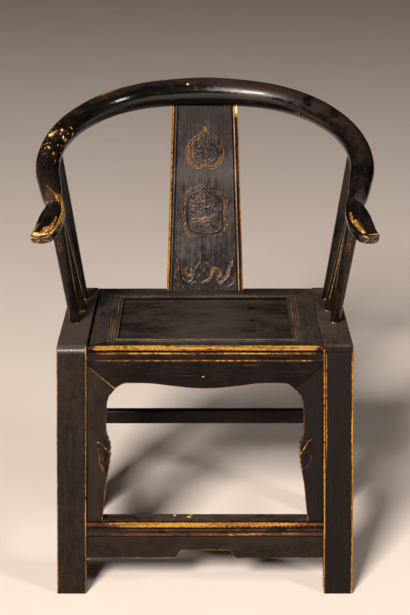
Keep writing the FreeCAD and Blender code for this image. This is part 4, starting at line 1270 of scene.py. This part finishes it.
def post_rub(name, side, share, climb, angle):
    """angle 270 faces the front and 0 faces away from the chair's middle."""
    strength = 0.5 if (name, side) == ("front", -1) else 1.0
    foot = 2.2 * (1.0 - ease(climb, 1.2, 4.0)) * bell(angle - 258, 38) * strength
    if name == "rear":
        foot *= 0.6
    mark, least = 0.0, 0.14
    if name == "front" and 0.62 < share < 0.83:
        off = abs(angle - (276 if side < 0 else 262))
        mark = 0.72 * bell(off - 11, 6)
    if name == "middle" and side > 0:
        wander = 236 + 5 * math.sin(share * 9)
        mark = 0.95 * bell(angle - wander, 10) * ease(share, 0.06, 0.14) * (1 - ease(share, 0.9, 0.97))
    if name == "middle" and side < 0:
        mark = 0.56 * max(bell(angle - 232, 8), bell(angle - 262, 8))
    return max(foot, mark, least)


def post(side, word, name):
    inset, back, from_neck, head_size = POSTS[name]
    foot = Vector((HALF_WIDTH - inset, back, SEAT_HEIGHT))
    u, v = along_rail(NECK - from_neck)[:2]
    head = CREST + Vector((u, 0, 0)) + DOWN_RAIL * v
    axis = (head - foot).normalized()
    across = Vector((1, 0, 0)) - axis * axis.x
    across.normalize()
    behind = axis.cross(across)
    length = (head - foot).length
    end = length - rail_radius(NECK - from_neck) * 0.45
    stations = [0.0, 0.8, 1.6, 2.6, 4.0] + stations_between(7.0, end, 4.0)
    around = 48

    def place(row, column):
        climb = stations[row]
        angle = 360.0 * column / around
        turn = math.radians(angle)
        c, s = math.cos(turn), math.sin(turn)
        size = blend_to(10.0, head_size / 2, climb / length) - 0.5 * (1.0 - ease(climb, 0.0, 1.5))
        size *= (abs(c) ** 2.5 + abs(s) ** 2.5) ** (-1 / 2.5) * 0.985
        point = foot + axis * climb + across * (c * size) + behind * (s * size)
        if row == 0:
            point -= axis * ((point.z - SEAT_HEIGHT) / axis.z)
        rub = post_rub(name, side, climb / length, climb, angle)
        wood = (climb, c * size + 90 * side, s * size + back)
        return at(side * point.x, point.y, point.z), wood, rub, 0.0

    bm = wrap(len(stations) - 1, around, place)
    plane_by_hand(bm, depth=0.3, width=30.0, turn=side)
    hand_over(word + "_" + name + "_post", bm, post_lacquer, ["post_" + name + "_" + word])


for side, word in SIDES:
    for name in POSTS:
        post(side, word, name)

# %% [markdown]
# ## The splat
# The back board is bowed to the sitter's spine. A bead runs down each edge behind a rubbed arris, and three
# ornaments are carved in it: a peach, a cartouche with clouds in it, and a pair of flames at the foot. The
# lines are drawn in millimetres from the splat's middle and from the floor.

# %% The ornaments
PEACH = [
    (3.0, 0.72, [(-0.4, 859), (-2.1, 848.3), (-11.4, 836.6), (-27.4, 824), (-35.8, 809.4), (-36.7, 795.8),
        (-32.7, 782.2), (-21.8, 772.4), (-8.3, 771), (-0.9, 776.3)]),
    (3.0, 0.72, [(-0.9, 776.3), (7.3, 770.5), (20.2, 771), (31.1, 782.2), (36.5, 798.7), (34.6, 812.3),
        (26.9, 827.9), (16.3, 838.5), (5.7, 846.3), (-0.4, 855.1)]),
    (1.3, 0.55, [(0.5, 851.2), (2.1, 843.4), (0.5, 835.7)]),
    (2.3, 0.66, [(-1, 835.7), (-14.8, 825.9), (-22.6, 812.3), (-24.6, 798.7), (-20.7, 786),
        (-13.5, 780.2)]),
    (1.7, 0.58, [(4.8, 819.1), (19.2, 816.2), (26.5, 801.6), (22.1, 788), (11.9, 781.2), (3.5, 786),
        (1.4, 795.8)]),
    (1.2, 0.35, [(-15.6, 810.4), (-9.3, 813.3), (-4.2, 809.4)]),
    (1.2, 0.35, [(-16.5, 800.7), (-9.3, 803.5), (-4.2, 799.7)]),
    (1.2, 0.35, [(-14.5, 791), (-8.3, 793.8), (-3.1, 789.9)]),
    (1.4, 0.58, [(1, 814.3), (6.2, 807.4), (2.1, 799.7), (5.2, 791.9)]),
    (1.4, 0.58, [(10.4, 810.4), (16.5, 803.5), (12.4, 795.8), (16.5, 789)]),
    (1.2, 0.5, [(7.2, 803.5), (11.4, 800.7), (8.3, 793.8)]),
]
CARTOUCHE = [
    (2.2, 0.6, [(-5.4, 751.5), (0, 739.6), (6.7, 728.7), (22.8, 719.5), (36.1, 715.1), (44.1, 704.8),
        (44.4, 690.7), (41.5, 676.6), (42.8, 660.4), (46.4, 647.3), (38.8, 633.2), (25.4, 625.1),
        (-1.3, 624)]),
    (2.2, 0.6, [(-5.4, 736.3), (-14.7, 728.7), (-30.8, 723.3), (-41.6, 711.4), (-44.2, 698.3),
        (-45.5, 682.1), (-44.2, 662.5), (-42.9, 644.1), (-38.8, 633.2), (-28.2, 625.1), (-1.3, 624)]),
    (1.5, 0.45, [(-3.3, 727.6), (-9.9, 720), (-26.4, 714.6), (-35.2, 704.8), (-37.4, 688.6), (-37.4, 664.7),
        (-34.1, 643), (-22, 633.2), (0, 631.6)]),
    (1.5, 0.45, [(-1.1, 727.6), (5.5, 718.9), (19.8, 711.4), (33, 703.8), (36.3, 688.6), (33, 674.5),
        (36.3, 656), (33, 639.7), (19.8, 632.1), (0, 631.6)]),
    (1.9, 0.74, [(-29.7, 659.8), (-18.7, 663.6), (-8.8, 660.9), (2.2, 664.7), (13.2, 665.2),
        (20.9, 672.3)]),
    (1.6, 0.66, [(-29.7, 652.8), (-15.4, 656), (0, 656.6), (13.2, 659.3), (22, 656)]),
    (1.3, 0.3, [(-14.3, 681), (0, 684.2), (13.2, 687.5), (30.8, 695.1)]),
    (1.7, 0.6, [(-6.6, 716.8), (-9.9, 705.9), (-3.3, 698.3), (3.3, 702.7), (1.1, 711.4)]),
    (1.5, 0.5, [(1.1, 695.1), (8.8, 700.5), (15.4, 696.2), (12.1, 688.6)]),
    (1.4, 0.35, [(-29.7, 708.1), (-22, 704.8), (-23.1, 696.2), (-30.8, 697.2)]),
    (1.4, 0.3, [(-29.7, 688.6), (-20.9, 686.4), (-22, 677.7), (-30.8, 676.6)]),
    (1.4, 0.4, [(22, 705.9), (28.6, 701.6), (26.4, 692.9), (19.8, 696.2)]),
    (1.4, 0.45, [(24.2, 681), (29.7, 676.6), (26.4, 666.9), (30.8, 660.4)]),
    (1.3, 0.35, [(-15.4, 696.2), (-11, 689.6), (-16.5, 685.3)]),
    (1.3, 0.3, [(-22, 645.2), (-11, 647.3), (0, 644.1), (11, 647.3), (22, 644.1)]),
]
FLAMES = [
    (1.9, 0.6, [(-60.4, 578), (-49.1, 559.9), (-47.7, 540.7), (-39.3, 529.4), (-28.9, 532.1),
        (-23.8, 544.9), (-21, 554.6), (-9.8, 571.1), (-4.7, 590.5)]),
    (2.1, 0.6, [(-60.4, 578), (-57.8, 556.7), (-63, 535.3), (-60.4, 523.8), (-47.2, 518.4), (-35.1, 516)]),
    (2.2, 0.75, [(-37.8, 561), (-40.3, 550.3), (-33.6, 542.8), (-28.4, 550.3), (-31.5, 558.9)]),
    (1.5, 0.45, [(-54.6, 561), (-52.5, 544.9), (-48.3, 532.1), (-39.9, 523.5)]),
    (1.9, 0.62, [(-4.7, 590.5), (2.8, 571.1), (15.5, 556.7)]),
    (2.4, 0.78, [(-5.6, 526.7), (9.9, 535), (14.1, 546), (18.4, 555.7), (28.4, 555.7), (33.1, 544.9),
        (26.2, 535.3), (32.6, 525.6)]),
    (1.8, 0.7, [(19.9, 549.2), (25.2, 549.2), (24.2, 541.7)]),
    (2.1, 0.7, [(32.6, 525.3), (46.4, 540.7), (52.5, 556.7), (59.1, 576.7)]),
    (1.8, 0.5, [(59.1, 576.7), (57.6, 551.4), (62, 532.1), (59.1, 523.8), (50.6, 518.4)]),
    (1.3, 0.35, [(42, 528.9), (51.5, 542.8), (54.6, 556.7)]),
    (1.4, 0.35, [(-14.7, 556.7), (-8.4, 548.2), (-12.6, 539.6)]),
    (1.4, 0.35, [(2.1, 556.7), (-2.1, 548.2), (4.2, 539.6)]),
    (1.7, 0.55, [(-27.3, 524.6), (-18.9, 528.9), (-14.7, 522.4)]),
]
print("carved lines:", len(PEACH) + len(CARTOUCHE) + len(FLAMES))

# %% [markdown]
# The splat is a tall board whose bow moves every point back by a little. The height of a bead depends only
# on how far it is from the edge, so it joins the carving in one relief. An uneven noise stands for the
# small cuts inside the peach and the cartouche, which are painted lighter on their crowns and darker
# between them, as painted highlight and shade. The grooves beside the carved lines and beside the beads are
# painted darker, as painted shade, and the crowns of the beads are painted lighter, as a painted highlight.
# The crown of the right bead is rubbed through, and near the top of the right edge a pale patch is a
# painted highlight. A band across the splat between the cartouche and the peach is painted lighter, as a
# painted sheen, and the top and the foot are darker.

# %% Make the splat
SPLAT_TOP = 908.0


def splat_bow(z):
    """How far the splat lies behind its foot: an even lean and a shallow bow."""
    share = (z - SEAT_HEIGHT) / (SPLAT_TOP - SEAT_HEIGHT)
    return 46.0 * share + 9.0 * 4 * share * (1 - share)


def splat_half(z):
    return blend_to(81.5, 68.5, (z - SEAT_HEIGHT) / (SPLAT_TOP - SEAT_HEIGHT))


def splat_border(away, z):
    """Height, rub and tone of the bead, the groove on each side of it and the rubbed strip along the edge.
    The tone is a painted highlight on the bead's crown and painted shade in the grooves.
    """
    edge = abs(away)
    bead = math.sqrt(max(0.0, 1.0 - ((edge - 9.0) / 2.6) ** 2))
    grooves = bell(edge - 6.2, 0.9) + bell(edge - 12.2, 1.0)
    height = 0.9 * bead - 0.9 * grooves - 0.7 * (edge < 5.4)
    if away < 0:
        strip = 1.0 - ease(edge, 3.2, 4.8)
        rub = 0.2 * bead + 0.84 * strip
        painted_crown_highlight = 1.2
    else:
        strip = 1.0 - ease(edge, 1.8, 3.4)
        rub = 0.2 * bead + 0.7 * strip + 0.75 * bead ** 12
        # Painted highlight: a pale patch near the top of the right edge.
        rub += 1.6 * (away > 0) * ease(z, 868, 890) * bell(edge - 4.5, 2.6)
        painted_crown_highlight = 2.2
    # The crown tone is a painted highlight on the bead, and the grooves get painted shade.
    return height, rub, painted_crown_highlight * bead ** 4 * (1.0 - strip) - 1.4 * grooves


def splat():
    groups = ((758, 870, PEACH), (614, 758, CARTOUCHE), (512, 598, FLAMES))
    groups = [(low, high, line_pieces(strokes)) for low, high, strokes in groups]
    stop = 900.0

    def edges(share):
        z = blend_to(SEAT_HEIGHT, stop, share)
        return (-splat_half(z), z), (splat_half(z), z)

    def relief(x, z, away):
        height, rub = 0.0, 0.0
        # Painted sheen: the band at 760 mm is painted lighter; the top and the foot are darker.
        toned = 0.7 * bell(z - 760, 22) - 0.5 * ease(z, 835, 880) - 0.4 * (1.0 - ease(z, 560, 620))
        for low, high, pieces in groups:
            if low < z < high:
                height, rub = carved(pieces, x, z)
                inside = 1.0 - ease(math.hypot(x / 44.0, (2 * z - low - high) / (high - low)), 0.6, 0.95)
                cut = noise.noise(Vector((x / 3.4, z / 2.2, 0))) * (low > 600)
                rub = max((0.86 if low > 700 else 0.98) * rub, inside * (0.2 + 0.5 * cut))
                height = max(height, 0.3 * inside * cut)
                # Painted shade in the grooves of the carving; the small cuts get painted highlight on their
                # crowns and painted shade between.
                toned -= 2.0 * max(0.0, -height) - 0.8 * inside * cut
        if abs(away) < 14:
            height, rub, border_tone = splat_border(away, z)
            toned += border_tone
        return height * 1.9, max(rub, 0.16), toned

    bm = board(400, 150, edges, 411.0, 14.0, relief, upright=True, rounding=1.8, bend=splat_bow)
    plane_by_hand(bm, depth=0.3, width=60.0)
    for face in bm.faces:
        middle = face.calc_center_median() / MM
        face.material_index = int(abs(middle.x) > splat_half(middle.z) - 6.0)
    hand_over("carved_splat", bm, splat_lacquer, ["splat"], second=board_lacquer)


splat()

# %% [markdown]
# ## The plain members
# The side and back aprons, the stretchers, the battens and the lap pins need no new shape. They keep their
# solids and get a thinner lacquer, which reads its pattern from the object's own coordinates.

# %% Finish the solids that stay
kept = [name for name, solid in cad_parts.items() if not solid.hide_render]
for name in kept:
    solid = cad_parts[name]
    solid.data.materials.clear()
    solid.data.materials.append(hidden_lacquer)
print("kept solids:", sorted(kept))

# %% [markdown]
# ## Floor, light and camera
# The chair stands on a plain pale floor. The main lamp is a large soft box, high and far away in front on
# the left, and the crest of the rail and the fold of the left front corner mirror it. A weak lamp on the
# right, tall and narrow like a window, gives the highlight on the left of the rail. The room is dark, with
# a faint light from overhead, so that the black surfaces stay black. The camera is a long lens at the
# height of a standing person.

# %% Floor
def floor():
    bm = bmesh.new()
    bmesh.ops.create_grid(bm, x_segments=1, y_segments=1, size=30.0)
    mesh = bpy.data.meshes.new("floor")
    bm.to_mesh(mesh)
    bm.free()
    paint = bpy.data.materials.new("pale_floor_paint")
    paint.use_nodes = True
    tree = paint.node_tree
    place = node(tree, "TexCoord").outputs["Object"]
    cloud = node(tree, "TexNoise", {"Vector": place, "Scale": 3.0, "Detail": 6.0}).outputs["Fac"]
    shade = {0: cloud, 6: colour("#e9dace"), 7: colour("#f2e5db")}
    mix = node(tree, "Mix", shade, data_type="RGBA").outputs[2]
    shader = tree.nodes["Principled BSDF"]
    tree.links.new(mix, shader.inputs["Base Color"])
    shader.inputs["Roughness"].default_value = 0.75
    shader.inputs["Specular IOR Level"].default_value = 0.2
    mesh.materials.append(paint)
    ground = bpy.data.objects.new("floor", mesh)
    bpy.context.scene.collection.objects.link(ground)


floor()

# %% Lamps and room
LAMP_TARGET = (0, 0.1, 0.6)


def soft_box(name, place, target, size, power, tint):
    lamp = bpy.data.lights.new(name, "AREA")
    lamp.shape = "RECTANGLE"
    lamp.size, lamp.size_y = size
    lamp.energy = power
    lamp.color = colour(tint)[:3]
    box = bpy.data.objects.new(name, lamp)
    box.location = place
    box.rotation_euler = (Vector(target) - Vector(place)).to_track_quat("-Z", "Y").to_euler()
    bpy.context.scene.collection.objects.link(box)


soft_box("left_soft_box", (-3.04, -9.5, 5.8), LAMP_TARGET, (2.4, 2.4), 2520, "#fff8f2")
soft_box("right_soft_box", (2.9, -2.8, 3.2), LAMP_TARGET, (0.62, 1.2), 66, "#fffaf4")

world = bpy.data.worlds.new("room")
bpy.context.scene.world = world
world.use_nodes = True
tree = world.node_tree
direction = node(tree, "TexCoord").outputs["Generated"]
height = node(tree, "SeparateXYZ", {0: direction}).outputs["Z"]
share = node(tree, "MapRange", {"Value": height, "From Min": 0.3, "From Max": 0.75}).outputs[0]
shade = node(tree, "Mix", {0: share, 6: colour("#3e3b38"), 7: colour("#e6d8cc")}, data_type="RGBA").outputs[2]
tree.links.new(shade, tree.nodes["Background"].inputs["Color"])
tree.nodes["Background"].inputs["Strength"].default_value = 0.05
bpy.context.scene.view_settings.view_transform = "Standard"

# %% Camera
lens = bpy.data.cameras.new("camera")
lens.lens = 107.43
lens.sensor_width = 36.0
camera = bpy.data.objects.new("camera", lens)
camera.location = (0.0, -3.610, 1.531)
camera.rotation_euler = (math.radians(74.35), 0.0, 0.0)
bpy.context.scene.collection.objects.link(camera)
bpy.context.scene.camera = camera

# %% [markdown]
# Last, the number of pieces made is printed.

# %% Finish
print("pieces made:", len(made_pieces))
